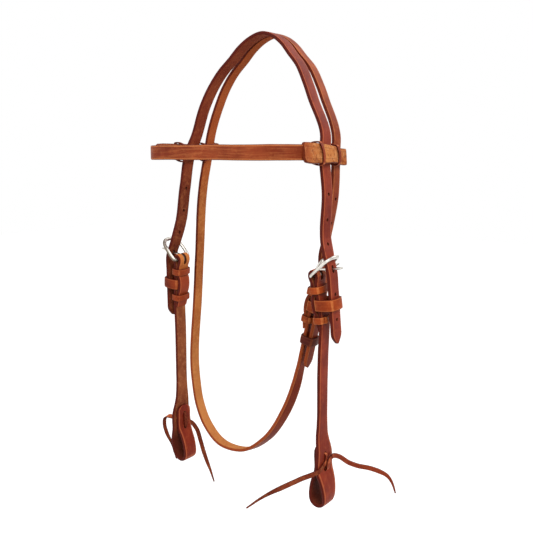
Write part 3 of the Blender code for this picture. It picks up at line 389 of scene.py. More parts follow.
def sweep(rows, closed=False, grainSide=1, spans=5, arc=3, crown=leather.crown):
    body = bmesh.new()
    lay, side, bending = [body.loops.layers.uv.new(name) for name in ("lay", "side", "bend")]
    count = len(rows)
    rings, facts = [], {}
    travelled = 0.0
    for i, row in enumerate(rows):
        before = rows[i - 1] if i or closed else row
        after = rows[(i + 1) % count] if i + 1 < count or closed else row
        travelled += (row.point - rows[i - 1].point).length if i else 0.0
        along = heading(before.point, row.point, after.point).normalized()
        across = (row.across - along * row.across.dot(along)).normalized()
        normal = along.cross(across)
        reach = (after.point - before.point).length or 1.0
        bend = (row.point - before.point).angle(after.point - row.point, 0.0) / reach * 2 * leather.tightBend
        ring = []
        for x, y in outline(row, spans, arc, crown):
            vertex = body.verts.new(settle(row.point + across * x + normal * y))
            skin = 0.5 + 0.5 * grainSide * y / (row.thickness / 2)
            facts[vertex] = (0.5 + x / row.width, travelled, skin, row.width, min(bend, 1.0))
            ring.append(vertex)
        rings.append(ring)
    corners = len(rings[0])
    for i in range(count if closed else count - 1):
        ring, following = rings[i], rings[(i + 1) % count]
        for k in range(corners):
            body.faces.new((ring[k], ring[(k + 1) % corners], following[(k + 1) % corners], following[k]))
    if not closed:
        body.faces.new(rings[0])
        body.faces.new(rings[-1])
    bmesh.ops.recalc_face_normals(body, faces=body.faces)
    for face in body.faces:
        capped = len(face.verts) > 4
        for loop in face.loops:
            across, along, skin, wide, bend = facts[loop.vert]
            loop[bending].uv = (bend, 0)
            loop[lay].uv = (across, along)
            loop[side].uv = (0.5 if capped else skin, wide)
    mesh = bpy.data.meshes.new("skin")
    body.to_mesh(mesh)
    body.free()
    return mesh


def add(node, rows, look, body, closed=False, fine=False, **section):
    # The visible piece that stands for one CAD node
    material, slot = finishes[look]
    mesh = sweep(smooth(rows, leather.fineStep, closed) if fine else rows, closed, **section)
    mesh.name = node + "Skin"
    piece = bpy.data.objects.new(node + "Skin", mesh)
    scene.collection.objects.link(piece)
    mesh.materials.append(material)
    mesh.shade_smooth()
    mesh.set_sharp_from_angle(angle=math.radians(leather.sharpAngle))
    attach(piece, body)
    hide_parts(node)
    return piece


def punch(piece, cutters):
    # One hidden cutter of several prisms: middle, along, normal, length, width, depth
    body = bmesh.new()
    corners = leather.holeCorners
    for middle, along, normal, length, width, depth in cutters:
        across = along.cross(normal).normalized()
        radius = width / 2
        reach = length / 2 - radius
        rim = []
        for k in range(corners):
            cosine, sine = turned(360 / corners * (k + 0.5))
            rim.append(along * (sine * radius + math.copysign(reach, sine)) + across * (cosine * radius))
        ends = [
            [body.verts.new(settle(middle) + point + normal * end * depth / 2) for point in rim]
            for end in (-1, 1)
        ]
        for k in range(corners):
            following = (k + 1) % corners
            body.faces.new((ends[0][k], ends[0][following], ends[1][following], ends[1][k]))
        for end in ends:
            body.faces.new(end)
    bmesh.ops.recalc_face_normals(body, faces=body.faces)
    mesh = bpy.data.meshes.new(piece.name + "Cutter")
    body.to_mesh(mesh)
    body.free()
    mesh.materials.append(holeRim)
    cutter = bpy.data.objects.new(mesh.name, mesh)
    scene.collection.objects.link(cutter)
    cut = piece.modifiers.new("holes", "BOOLEAN")
    cut.operation = "DIFFERENCE"
    cut.solver = "EXACT"
    cut.material_mode = "TRANSFER"
    cut.object = cutter
    bpy.context.view_layer.update()
    graph = bpy.context.evaluated_depsgraph_get()
    finished = bpy.data.meshes.new_from_object(piece.evaluated_get(graph), depsgraph=graph)
    piece.modifiers.clear()
    piece.data = finished
    bpy.data.objects.remove(cutter)


buckle = Sizes(
    barDiameter=0.0034, cheekFrameReach=0.027, throatFrameReach=0.024, framePlay=0.0018, railWidth=0.0043,
    railThickness=0.003, frameCorner=0.009, barCorner=0.0029, tongueDiameter=0.0026, tongueLength=0.0305,
    tongueWrap=math.radians(285), octagonShare=0.41, railClearance=0.0013, barClearance=0.0005,
    rollClearance=0.0005, slotWidth=0.0042, wornHole=0.0078, chapeLength=0.056, chapeSlotDepth=0.0056,
    chapePinch=0.0105, skivedThickness=0.0018, skiveLength=0.007, rollTurns=14,
    tongueShares=((0.0, 1.0), (0.5, 1.0), (0.86, 0.95), (0.97, 0.75), (1.0, 0.45)),
    pinchShares=((1.0, 0.0), (0.75, 0.1), (0.5, 0.5), (0.25, 0.87)),
)
rollRadius = (buckle.barDiameter + buckle.tongueDiameter) / 2 + buckle.rollClearance


class Station:
    # A buckle's own frame: out from the head, up, and aft of its bar; or down along its leaning strap
    def __init__(self, side, bar, width, reach, lean, pitch, tilt, tongueTilt, standoff, fall):
        self.side, self.bar, self.width, self.reach = side, Vector(bar), width, reach
        self.lean, self.tilt, self.tongueTilt = lean, tilt, tongueTilt
        self.standoff, self.fall = standoff, fall
        self.aft = Vector((0, math.cos(pitch), math.sin(pitch)))
        self.up = Vector((0, -math.sin(pitch), math.cos(pitch)))

    def place(self, out, up, aft=0.0):
        return self.bar + Vector((self.side * out, 0, 0)) + self.aft * aft + self.up * up

    def leaning(self, down, normal, aft=0.0):
        out = down * math.sin(self.lean) + normal * math.cos(self.lean)
        up = normal * math.sin(self.lean) - down * math.cos(self.lean)
        return self.place(out, up, aft)

    def billetDepth(self, down):
        # How far the hanging billet's middle stands off the bar's line, below the bar
        return self.standoff - self.fall * down

    def down(self):
        return (self.leaning(1.0, 0.0) - self.bar).normalized()

    def out(self):
        return (self.leaning(0.0, 1.0) - self.bar).normalized()

    def underRail(self):
        # Middle of a billet that passes just inside the far rail
        near = self.reach - buckle.railWidth / 2
        sine, cosine = math.sin(self.tilt), math.cos(self.tilt)
        half = buckle.railThickness / 2
        out = near * sine - half * cosine - leather.thickness / 2 - buckle.railClearance
        return out, near * cosine + half * sine

    def tongueLine(self):
        # Where the straight part of the tongue starts, and its direction, as out and up
        sine, cosine = math.sin(self.tongueTilt), math.cos(self.tongueTilt)
        return (-cosine * rollRadius, sine * rollRadius), (sine, cosine)


def buckleFrame(station):
    # The frame as one closed loop: a round bar that widens into flat rails with rounded far corners
    half = station.width / 2 + buckle.framePlay + buckle.railWidth / 2
    sine, cosine = math.sin(station.tilt), math.cos(station.tilt)
    face = station.place(cosine, -sine) - station.bar

    def row(aft, reach, roundShare=0.0):
        wide = partWay(buckle.railWidth, buckle.barDiameter, roundShare)
        thick = partWay(buckle.railThickness, buckle.barDiameter, roundShare)
        bevel = buckle.barDiameter * buckle.octagonShare
        return Knot(station.place(reach * sine, reach * cosine, aft), face, thick, wide, bevel)

    barEnd = half - buckle.barCorner
    rows = [row(0.0, 0.0, 1.0), row(barEnd, 0.0, 1.0)]
    for turn in (30, 60, 90):
        y, x = turned(turn)
        rows.append(row(barEnd + buckle.barCorner * x, buckle.barCorner * (1 - y), 1 - turn / 90))
    inner, shoulder = half - buckle.frameCorner, station.reach - buckle.frameCorner
    for turn in (0, 18, 36, 54, 72, 90):
        x, y = turned(turn)
        rows.append(row(inner + buckle.frameCorner * x, shoulder + buckle.frameCorner * y))

    def mirrored(knot):
        place = knot.point - station.aft * 2 * (knot.point - station.bar).dot(station.aft)
        return Knot(place, knot.across, *knot.section)

    return rows + [mirrored(knot) for knot in rows[:0:-1]]


def buckleTongue(station):
    # Wire rolled round the bar, then straight to a blunt, slightly narrowed tip
    start, direction = station.tongueLine()

    def row(out, up, share=1.0):
        size = buckle.tongueDiameter * share
        bevel = buckle.tongueDiameter * buckle.octagonShare * share
        return Knot(station.place(out, up), station.aft, size, size, bevel)

    rows = []
    leave = math.atan2(start[1], start[0])
    for k in range(buckle.rollTurns, 0, -1):
        turn = leave + buckle.tongueWrap * k / buckle.rollTurns
        rows.append(row(rollRadius * math.cos(turn), rollRadius * math.sin(turn)))
    for share, size in buckle.tongueShares:
        reach = buckle.tongueLength * share
        rows.append(row(start[0] + direction[0] * reach, start[1] + direction[1] * reach, size))
    return rows


keeperBand = Sizes(
    thickness=0.0016, bevel=0.0004, corner=0.0019, lap=0.0012, upperAt=0.0146, upperWidth=0.0073,
    billetAt=0.0295, billetWidth=0.0115, lowerAt=0.045, lowerWidth=0.007, ease=0.0005, loopAt=0.067,
    loopWidth=0.009, crown=0.00015,
    lapShares=((0.62, 0.0), (0.60, 1.0), (0.12, 1.0), (0.10, 0.0)),
)


def keeper(station, at, width, low, high, lap=False):
    # A leather band round everything between two depths, square to the leaning strap
    thickness, corner = keeperBand.thickness, keeperBand.corner
    near = low - leather.fit - thickness / 2
    far = high + leather.fit + thickness / 2
    edge = station.width / 2 + leather.fit + thickness / 2 - corner

    def row(depth, aft, thick=thickness):
        return Knot(station.leaning(at, depth, aft), station.down(), width, thick, keeperBand.bevel)

    rows = []
    inner, outer = near + corner, far - corner
    for depth, aft, first in ((outer, edge, 0), (inner, edge, 90), (inner, -edge, 180), (outer, -edge, 270)):
        for turn in (first, first + 45, first + 90):
            cosine, sine = turned(turn)
            rows.append(row(depth + corner * cosine, aft + corner * sine))
    if lap:
        # The cut end lies on top of the band, forward of the middle of its outer face
        for share, rise in keeperBand.lapShares:
            raised = keeperBand.lap * rise
            rows.append(row(far + raised / 2, -edge * share, thickness + raised))
    return rows


def chape(station):
    # Leaning rows of a doubled strap from its skived end, up, round the bar and down to the lower keeper
    def row(down, normal, thickness=leather.thickness):
        return Knot(station.leaning(down, normal), station.aft, station.width, thickness)

    parting = keeperBand.thickness + leather.fit
    apart = keeperBand.billetWidth / 2 + leather.fit
    above, below = keeperBand.billetAt - apart, keeperBand.billetAt + apart
    upperEdge = keeperBand.upperAt + keeperBand.upperWidth / 2
    lowerEdge = keeperBand.lowerAt - keeperBand.lowerWidth / 2
    skived = (buckle.skivedThickness + leather.fit) / 2
    rows = [
        row(buckle.chapeLength, -skived, buckle.skivedThickness),
        row(buckle.chapeLength - buckle.skiveLength, -ply),
    ]
    for start, end, opening in ((lowerEdge, below, True), (above, upperEdge, False)):
        for k in range(4):
            share = k / 3
            ease = share * share * (3 - 2 * share)
            rows.append(row(partWay(start, end, share), -ply - parting * (ease if opening else 1 - ease)))
    turnRadius = buckle.barDiameter / 2 + buckle.barClearance + leather.thickness / 2
    for share, openShare in buckle.pinchShares:
        rows.append(row(buckle.chapePinch * share, -partWay(ply, turnRadius, openShare)))
    for k in range(7):
        cosine, sine = turned(30 * k - 90)
        rows.append(row(-turnRadius * cosine, turnRadius * sine))
    for share, openShare in reversed(buckle.pinchShares):
        rows.append(row(buckle.chapePinch * share, partWay(ply, turnRadius, openShare)))
    rows.append(row(keeperBand.lowerAt, ply))
    return rows


def chapeSlot(station):
    # Cutter for the slot in the fold that the tongue's roll turns in
    reach = buckle.barDiameter / 2 + buckle.barClearance + leather.thickness + leather.fit
    length = buckle.chapeSlotDepth + reach + leather.overrun
    middle = station.leaning(buckle.chapeSlotDepth - length / 2, 0.0)
    return middle, station.down(), station.out(), length, buckle.slotWidth, reach * 2


def crossing(rows, station):
    # Where a billet meets the tongue: point, direction and normal
    start, direction = station.tongueLine()
    origin = station.place(*start)
    forward = (station.place(start[0] + direction[0], start[1] + direction[1]) - origin).normalized()
    square = station.aft.cross(forward)
    for here, there in zip(rows, rows[1:]):
        first, second = (here.point - origin).dot(square), (there.point - origin).dot(square)
        if first * second <= 0 and (here.point - origin).dot(forward) > 0:
            along = (there.point - here.point).normalized()
            point = here.point.lerp(there.point, first / (first - second))
            return point, along, along.cross(aftWay).normalized()
    raise ValueError("the tongue misses its billet")


def alongRows(rows, start, distance):
    # Point, direction and normal at a distance along the rows from the point nearest to start
    i = min(range(len(rows)), key=lambda k: (rows[k].point - start).length)
    pace = 1 if distance > 0 else -1
    short = rows[i].point - start
    behind = short.dot(rows[i + pace].point - rows[i].point) < 0
    left = abs(distance) + short.length * (1 if behind else -1)
    while 0 <= i + pace < len(rows):
        span = rows[i + pace].point - rows[i].point
        if left <= span.length:
            along = span.normalized()
            return rows[i].point + along * left, along, along.cross(aftWay).normalized()
        left -= span.length
        i += pace
    raise ValueError("a hole lies past the end of its strap")


def billetHoles(rows, station, above, below):
    # The hole in use, stretched by the tongue, and the free holes either side of it
    point, along, normal = crossing(rows, station)
    depth = leather.thickness + leather.overrun * 2
    cutters = [(point, along, normal, buckle.wornHole, leather.billetHole, depth)]
    downward = 1 if along.z < 0 else -1
    for k in (*range(-above, 0), *range(1, below + 1)):
        middle, way, face = alongRows(rows, point, k * downward * leather.holePitch)
        cutters.append((middle, way, face, leather.billetHole, leather.billetHole, depth))
    return cutters


def hangingBillet(station, inside, downs, length):
    # A billet from inside its buckle's far rail down through the keepers to its pointed tip
    places = [inside] + [station.leaning(down, station.billetDepth(down)) for down in downs]
    knots = [Knot(place, station.aft, station.width) for place in places]
    for backShare, widthShare in leather.tipShares:
        back = station.width * backShare
        place = station.leaning(length - back, station.billetDepth(length) + station.fall * back)
        knots.append(Knot(place, station.aft, station.width * widthShare))
    return knots


pollArch = Sizes(
    rise=0.1223, halfSpan=0.088, crownSweep=0.0213, pitch=0.027, gap=0.001, rearTuck=0.0033, offBow=0.003,
    shares=(
        (0.17, 0.965, 0.04, 0.03, 0.0), (0.31, 0.897, 0.11, 0.09, 0.0), (0.43, 0.806, 0.20, 0.16, 0.0),
        (0.565, 0.705, 0.31, 0.25, 0.0), (0.695, 0.554, 0.47, 0.42, 0.0), (0.785, 0.423, 0.59, 0.54, 0.1),
        (0.967, 0.128, 0.70, 0.76, 0.5), (1.0, 0, 1.0, 1.0, 1.0),
    ),
)

cheekBuckle = Sizes(
    barSpan=0.0905, barSweep=0.0363, barDrop=0.118, lean=math.radians(6.5), pitch=math.radians(4),
    nearTilt=math.radians(47), offTilt=math.radians(39), tongueTilt=math.radians(79), nearStandoff=0.0174,
    offStandoff=0.0154, billetFall=0.0042, billet=0.0695,
    nearApproach=((0.34, 0.36, 0.25), (0.695, 0.50, 0.62)),
    offApproach=((0.34, 0.48, 0.33), (0.66, 0.70, 0.68)),
    offSlack=0.004, offPlay=0.001,
)
bandHeight = leather.thickness / 2 - pollArch.rise
# Between the two straps' middles where they lie side by side over the poll
pollSpacing = (leather.strapWidth + leather.throatWidth) / 2 + pollArch.gap


def arch(side, rear):
    # Knots from the poll, not counted, down to the browband on one side
    knots = []
    for across, up, crownForward, rearForward, tuck in pollArch.shares:
        x = pollArch.halfSpan * across - (pollArch.rearTuck * tuck if rear else 0.0)
        # The off side bows out half way up
        x += pollArch.offBow * (4 * up * (1 - up)) ** 3 if side < 0 else 0.0
        y = -pollArch.crownSweep * crownForward
        if rear:
            y = partWay(pollSpacing, pollArch.pitch - pollArch.crownSweep, rearForward)
        width = leather.throatWidth if rear else leather.strapWidth
        knots.append(Knot((side * x, y, bandHeight + pollArch.rise * up), aftWay, width))
    return knots


def cheekStation(side):
    bar = (side * cheekBuckle.barSpan, -cheekBuckle.barSweep, bandHeight - cheekBuckle.barDrop)
    return Station(
        side, bar, leather.strapWidth, buckle.cheekFrameReach, cheekBuckle.lean, cheekBuckle.pitch,
        sided(cheekBuckle, "Tilt", side), cheekBuckle.tongueTilt, sided(cheekBuckle, "Standoff", side),
        cheekBuckle.billetFall / cheekBuckle.billet,
    )


cheekStrap = Sizes(
    bitSpan=0.0972, offSway=0.005, swayStart=0.275, singleSpan=0.0966, sweep=0.0333, singleDrop=0.200,
    bitDrop=0.358, loopOutside=0.0199, loopThickness=0.0034, plyGap=0.0006, holeDrop=0.3018,
    holePitch=0.0162, flareDrop=0.283, flareWidth=0.0294, footWidth=0.019, tabWidth=0.021, tabDrop=0.292,
    loopShares=((0.30, 0.50), (0.50, 0.80), (0.72, 0.98), (1.0, 1.0)),
    flareShares=(
        (-1.1, 0.0, 0.0), (-0.5, 0.0, 0.10), (0.0, 0.03, 0.27), (0.35, 0.35, 0.45), (0.7, 0.8, 0.66),
        (1.0, 1.0, 0.84),
    ),
    laceShare=0.985, waistShare=0.8,
    tabShares=((0.5, 0.97), (0.26, 0.80), (0.10, 0.55), (0.0, 0.30)),
)

bitLace = Sizes(
    width=0.005, thickness=0.0017, neck=0.0034, knotReach=0.006, tailGap=0.0005, taperShare=0.7,
    tipShare=0.3,
    nearFront=(
        (0.0002, -0.0037, -0.0015), (0.0001, -0.0083, -0.0029), (-0.0018, -0.0129, -0.0041),
        (-0.0055, -0.0172, -0.0059), (-0.0110, -0.0212, -0.0085), (-0.0180, -0.0259, -0.0127),
        (-0.0292, -0.0322, -0.0197), (-0.0380, -0.0370, -0.0253), (-0.0463, -0.0411, -0.0313),
        (-0.0607, -0.0480, -0.0441),
    ),
    nearRear=(
        (0, 0.0035, 0.0004), (0.0003, 0.0080, -0.0008), (0.0012, 0.0140, -0.0038),
        (0.0067, 0.0274, -0.0144), (0.0116, 0.0335, -0.0180), (0.0222, 0.0439, -0.0221),
        (0.0290, 0.0501, -0.0259), (0.0363, 0.0568, -0.0322), (0.0403, 0.0597, -0.0401),
        (0.0436, 0.0609, -0.0503),
    ),
    offFront=(
        (0.0003, -0.0035, 0.0015), (0.0040, -0.0064, 0.0022), (0.0085, -0.0070, -0.0010),
        (0.0100, -0.0068, -0.0075), (0.0077, -0.0057, -0.0194), (0.0032, -0.0024, -0.0324),
        (-0.0008, 0.0009, -0.0517),
    ),
    offRear=(
        (0.0001, 0.0083, -0.0047), (-0.0005, 0.0153, -0.0097), (-0.0025, 0.0206, -0.0182),
        (-0.0050, 0.0246, -0.0344), (-0.0085, 0.0263, -0.0482), (-0.0125, 0.0279, -0.0607),
        (-0.0160, 0.0299, -0.0721), (-0.0200, 0.0314, -0.0858),
    ),
    crown=0.00005, flat=Vector((0.8, 0.6, 0)),
)


def bitSway(side, drop):
    # How far in the strap hangs at a drop below the browband
    if side > 0:
        return 0.0
    share = max(0.0, (drop - cheekStrap.swayStart) / (cheekStrap.bitDrop - cheekStrap.swayStart))
    return cheekStrap.offSway * share * share


def bitLaceRows(side):
    # Thong through both lace holes: flat on the tab, both ends out to the strap's face, crossed there
    closed = cheekStrap.loopThickness + cheekStrap.plyGap / 2
    tab = cheekStrap.bitSpan - closed - leather.fit - bitLace.thickness / 2
    first = cheekStrap.bitSpan + closed + leather.fit + bitLace.thickness / 2
    second = first + bitLace.thickness + leather.fit
    upper = bandHeight - cheekStrap.holeDrop
    lower = upper - cheekStrap.holePitch
    knot = (upper + lower) / 2
    turn, reach, rise = bitLace.thickness, bitLace.knotReach, cheekStrap.holePitch / 6

    def row(x, z, aft=0.0, across=foreWay, width=bitLace.width):
        place = (side * (x - bitSway(side, bandHeight - z)), -cheekStrap.sweep + aft * side, z)
        return Knot(place, Vector((0, across.y * side, across.z)), width, bitLace.thickness, keeperBand.bevel)

    def inHole(x, z):
        return row(x, z, width=bitLace.neck)

    return [
        row(first, knot - rise, -reach, upWay),
        row(first, knot - rise / 3, -reach / 3, upWay - aftWay),
        inHole(first, upper - turn * 2),
        inHole(first - turn / 3, upper - turn / 3),
        inHole(first - turn * 1.4, upper),
        inHole(cheekStrap.bitSpan, upper),
        inHole(tab + turn * 1.4, upper),
        inHole(tab + turn / 3, upper - turn / 3),
        row(tab, upper - turn * 1.6),
        row(tab, knot),
        row(tab, lower + turn * 1.6),
        inHole(tab + turn / 3, lower + turn / 3),
        inHole(tab + turn * 1.4, lower),
        inHole(cheekStrap.bitSpan, lower),
        inHole(second - turn * 1.6, lower),
        inHole(second - turn / 3, lower + turn / 2),
        row(second, lower + turn * 2),
        row(second, knot + rise / 3, reach / 3, upWay - aftWay),
        row(second, knot + rise, reach, upWay),
    ]


def tailRows(end, beside, side, route, twist, twistShare):
    # Free end of a lace from the knot's end: a flat thong that turns as it leaves and narrows to its tip
    start = end.point + (end.point - beside.point).normalized() * bitLace.tailGap
    points = [start] + [end.point + Vector((side * out, aft, up)) for out, aft, up in route]
    knots = []
    for i, point in enumerate(points):
        way = i / (len(points) - 1)
        across = end.across.normalized().lerp(twist, min(1.0, way / twistShare))
        narrowing = max(0.0, (way - bitLace.taperShare) / (1 - bitLace.taperShare))
        width = bitLace.width * (1 - (1 - bitLace.tipShare) * narrowing)
        knots.append(Knot(point, across, width, bitLace.thickness, keeperBand.bevel))
    return smooth(smooth(knots), leather.tailStep)


# Free ends of the bit laces first, each one's length printed
tails = (
    ("near", 1, "front", upWay, 1.0),
    ("near", 1, "rear", bitLace.flat / 4 + upWay, 1.0),
    ("off", -1, "front", aftWay, 0.4),
    ("off", -1, "rear", bitLace.flat, 0.8),
)
for name, side, ending, twist, twistShare in tails:
    rows = bitLaceRows(side)
    ends = ((rows[0], rows[1]), (rows[-1], rows[-2]))[::side]
    rows = tailRows(*ends[ending == "rear"], side, bitLace[name + ending.title()], twist, twistShare)
    node = f"bit_lace_{name}_{ending}_tail"
    tail = add(node, rows, "lace", "headstall", spans=4, grainSide=side, crown=bitLace.crown)
    path = [settle(row.point) for row in rows]
    length = sum((there - here).length for here, there in zip(path, path[1:]))
    print("tail", name, ending, round(length * 1000), "mm")

for name, side in sides:
    section = dict(fine=True, spans=4, grainSide=side, crown=bitLace.crown)
    add("bit_lace_" + name, bitLaceRows(side), "lace", "headstall", **section)
print("bit laces made")


def cheekRows(side):
    # Cheek strap from its folded end at the buckle down and round the bit loop to its tab
    def row(x, drop, width, thickness=cheekStrap.loopThickness):
        place = (side * (x - bitSway(side, drop)), -cheekStrap.sweep, bandHeight - drop)
        return Knot(place, aftWay, width, thickness)

    closed = (cheekStrap.loopThickness + cheekStrap.plyGap) / 2
    widest = (cheekStrap.loopOutside - cheekStrap.loopThickness) / 2
    outer, inner = cheekStrap.bitSpan + closed, cheekStrap.bitSpan - closed
    lowerHole = cheekStrap.holeDrop + cheekStrap.holePitch
    centre = cheekStrap.bitDrop - cheekStrap.loopThickness / 2 - widest
    flare, foot, tab = cheekStrap.flareWidth, cheekStrap.footWidth, cheekStrap.tabWidth
    rows = chape(cheekStation(side))
    rows.append(row(cheekStrap.singleSpan, cheekStrap.singleDrop, leather.strapWidth, leather.thickness))
    for way, outShare, wideShare in cheekStrap.flareShares:
        x = partWay(cheekStrap.singleSpan, outer, outShare)
        drop = partWay(cheekStrap.flareDrop, cheekStrap.holeDrop, way)
        rows.append(row(x, drop, partWay(leather.strapWidth, flare, wideShare)))
    rows.append(row(outer, cheekStrap.holeDrop + cheekStrap.holePitch / 2, flare * cheekStrap.laceShare))
    rows.append(row(outer, lowerHole, flare))
    for way, openShare in cheekStrap.loopShares:
        width = flare + (foot - flare) * way * cheekStrap.waistShare
        rows.append(row(outer + (widest - closed) * openShare, partWay(lowerHole, centre, way), width))
    for turn in (30, 60, 90, 120, 150):
        cosine, sine = turned(turn)
        rows.append(row(cheekStrap.bitSpan + widest * cosine, centre + widest * sine, foot))
    for way, openShare in reversed(cheekStrap.loopShares):
        rows.append(row(inner - (widest - closed) * openShare, partWay(lowerHole, centre, way), foot))
    rows += [row(inner, lowerHole, tab), row(inner, cheekStrap.holeDrop, tab)]
    for backShare, widthShare in cheekStrap.tabShares:
        rows.append(row(inner, cheekStrap.tabDrop + tab / 2 * backShare, tab * widthShare))
    return smooth(rows)


for name, side in sides:
    cheek = add("cheek_strap_" + name, cheekRows(side), "cheek", "headstall", grainSide=side)
    depth = cheekStrap.loopThickness * 2 + cheekStrap.plyGap + leather.overrun * 2
    holes = []
    for drop in (cheekStrap.holeDrop, cheekStrap.holeDrop + cheekStrap.holePitch):
        x = side * (cheekStrap.bitSpan - bitSway(side, drop))
        middle = Vector((x, -cheekStrap.sweep, bandHeight - drop))
        holes.append((middle, upWay, Vector((1, 0, 0)), leather.laceHole, leather.laceHole, depth))
    punch(cheek, holes)
    punch(cheek, [chapeSlot(cheekStation(side))])
print("cheek straps made")


def crownSide(side):
    # Crown strap from just below the browband to its billet's tip
    station = cheekStation(side)
    out, up = station.underRail()
    # The off billet hangs clear of its rail, and to the rear of the frame's room
    slack, play = (0.0, 0.0) if side > 0 else (cheekBuckle.offSlack, cheekBuckle.offPlay)
    inside = station.place(out - slack, up, play)
    knots = []
    for dropShare, outShare, sweepShare in sided(cheekBuckle, "Approach", side):
        x = partWay(pollArch.halfSpan, abs(inside.x), outShare)
        y = -partWay(pollArch.crownSweep, cheekBuckle.barSweep, sweepShare)
        knots.append(Knot((side * x, y, bandHeight - cheekBuckle.barDrop * dropShare), aftWay))
    downs = (0.0, keeperBand.upperAt, keeperBand.billetAt, keeperBand.lowerAt)
    return knots + hangingBillet(station, inside, downs, cheekBuckle.billet)


near, off = [arch(side, False) + crownSide(side) for name, side in sides]
rows = smooth(near[::-1] + [Knot((0, 0, leather.thickness / 2), aftWay)] + off)
crown = add("crown_strap", rows, "crown", "headstall", grainSide=-1)
for name, side in sides:
    half = [row for row in rows if row.point.x * side > 0]
    punch(crown, billetHoles(half[::-side], cheekStation(side), 3, 2))
print("crown strap made")


throatBuckle = Sizes(
    barSpan=0.0715, barSweep=0.0047, barDrop=0.128, lean=math.radians(-13), tilt=math.radians(27),
    tongueTilt=math.radians(62), standoff=0.0095, billet=0.098,
    approach=((0.35, 0.05, 0.15), (0.66, 0.70, 0.60)),
)

throatStrap = Sizes(
    half=0.0955, depth=0.3405, sweep=0.006,
    offShares=(
        (-0.905, 0.10, -0.55, 0), (-0.935, 0.365, 0.5, 0), (-0.955, 0.497, 0.83, 0), (-0.99, 0.787, 1.0, 0),
        (-0.93, 0.868, 1.0, 0), (-0.82, 0.936, 0.83, 0), (-0.61, 0.992, 0.5, 0), (-0.310, 1.0, 0.0, 6),
        (0.060, 0.935, 0.0, 16), (0.320, 0.830, 0.0, 22), (0.465, 0.735, 0.0, 18),
    ),
)
throat = Station(
    1, (throatBuckle.barSpan, -throatBuckle.barSweep, bandHeight - throatBuckle.barDrop), leather.throatWidth,
    buckle.throatFrameReach, throatBuckle.lean, 0.0, throatBuckle.tilt, throatBuckle.tongueTilt,
    throatBuckle.standoff, 0.0,
)


def throatRows():
    # The throatlatch from its billet's tip, over the poll, down the off side, under the throat and up
    def row(place, across=aftWay):
        return Knot(place, across, leather.throatWidth)

    inside = throat.place(*throat.underRail())
    near = arch(1, True)
    band = near[-1].point
    for dropShare, inShare, sweepShare in throatBuckle.approach:
        x = partWay(band.x, inside.x, inShare)
        y = partWay(band.y, -throatBuckle.barSweep, sweepShare)
        near.append(row((x, y, bandHeight - throatBuckle.barDrop * dropShare)))
    downs = (0.0, keeperBand.upperAt, keeperBand.billetAt, keeperBand.lowerAt, keeperBand.loopAt)
    near += hangingBillet(throat, inside, downs, throatBuckle.billet)
    off = arch(-1, True)
    for across, drop, forward, twist in throatStrap.offShares:
        x, y = throatStrap.half * across, -throatBuckle.barSweep - throatStrap.sweep * forward
        place = Vector((x, y, bandHeight - throatStrap.depth * drop))
        # The rising part turns its outer face a little to the front
        outer = aftWay.cross(place - off[-1].point).normalized() * math.tan(math.radians(twist))
        off.append(row(place, aftWay + outer))
    off += [row(throat.leaning(down, ply)) for down in (throatBuckle.billet, keeperBand.loopAt)]
    return smooth(near[::-1] + [row((0, pollSpacing, leather.thickness / 2))] + off + chape(throat)[::-1])


rows = throatRows()
strap = add("throatlatch_strap", rows, "throat", "throatlatch", grainSide=-1)
billet = [row for row in rows if row.point.x > 0][: len(rows) // 3]
punch(strap, billetHoles(billet[::-1], throat, 3, 3))
punch(strap, [chapeSlot(throat)])
print("throatlatch made")


browband = Sizes(
    width=0.0148, thickness=0.0037, ease=0.0016, lean=math.radians(11.5), span=0.092, frontSweep=0.0937,
    corner=0.030, flapReach=0.0475, flapFlare=0.0016, nearFlap=0.0168, offFlap=0.0128, nearDroop=0.005,
    offDroop=-0.003, innerDroops=(0.7, 0.4, 0.2, 0.0),
    sideShares=((0.10, 0.38), (0.38, 0.72)),
    rearUpright=0.6,
)

bandLace = Sizes(
    droops=(0.66, 0.40), width=0.0036, thickness=0.0015, corner=0.0016, ease=0.0003, flapShares=(1.0, 1.14),
    crossings=(0.2, 0.4, 0.6, 0.8), sets=(0.595, -0.64),
)


def behindCrown(y):
    # 0 beside the crown strap and ahead of it, 1 beside the throatlatch and behind it
    start = leather.strapWidth / 2 - pollArch.crownSweep
    end = pollArch.pitch - pollArch.crownSweep - leather.throatWidth / 2
    return min(1.0, max(0.0, (y - start) / (end - start)))


def leanAt(y):
    # How far the poll straps' sides lean where the browband crosses them
    return browband.lean * (1 - browband.rearUpright * behindCrown(y))


def bandPlace(side, y, out, up):
    # A point beside the poll straps: out from their middle and up, both square to their lean
    sine, cosine = math.sin(leanAt(y)), math.cos(leanAt(y))
    x = pollArch.halfSpan - pollArch.rearTuck * behindCrown(y) + out * cosine - up * sine
    return side * x, y, bandHeight + out * sine + up * cosine


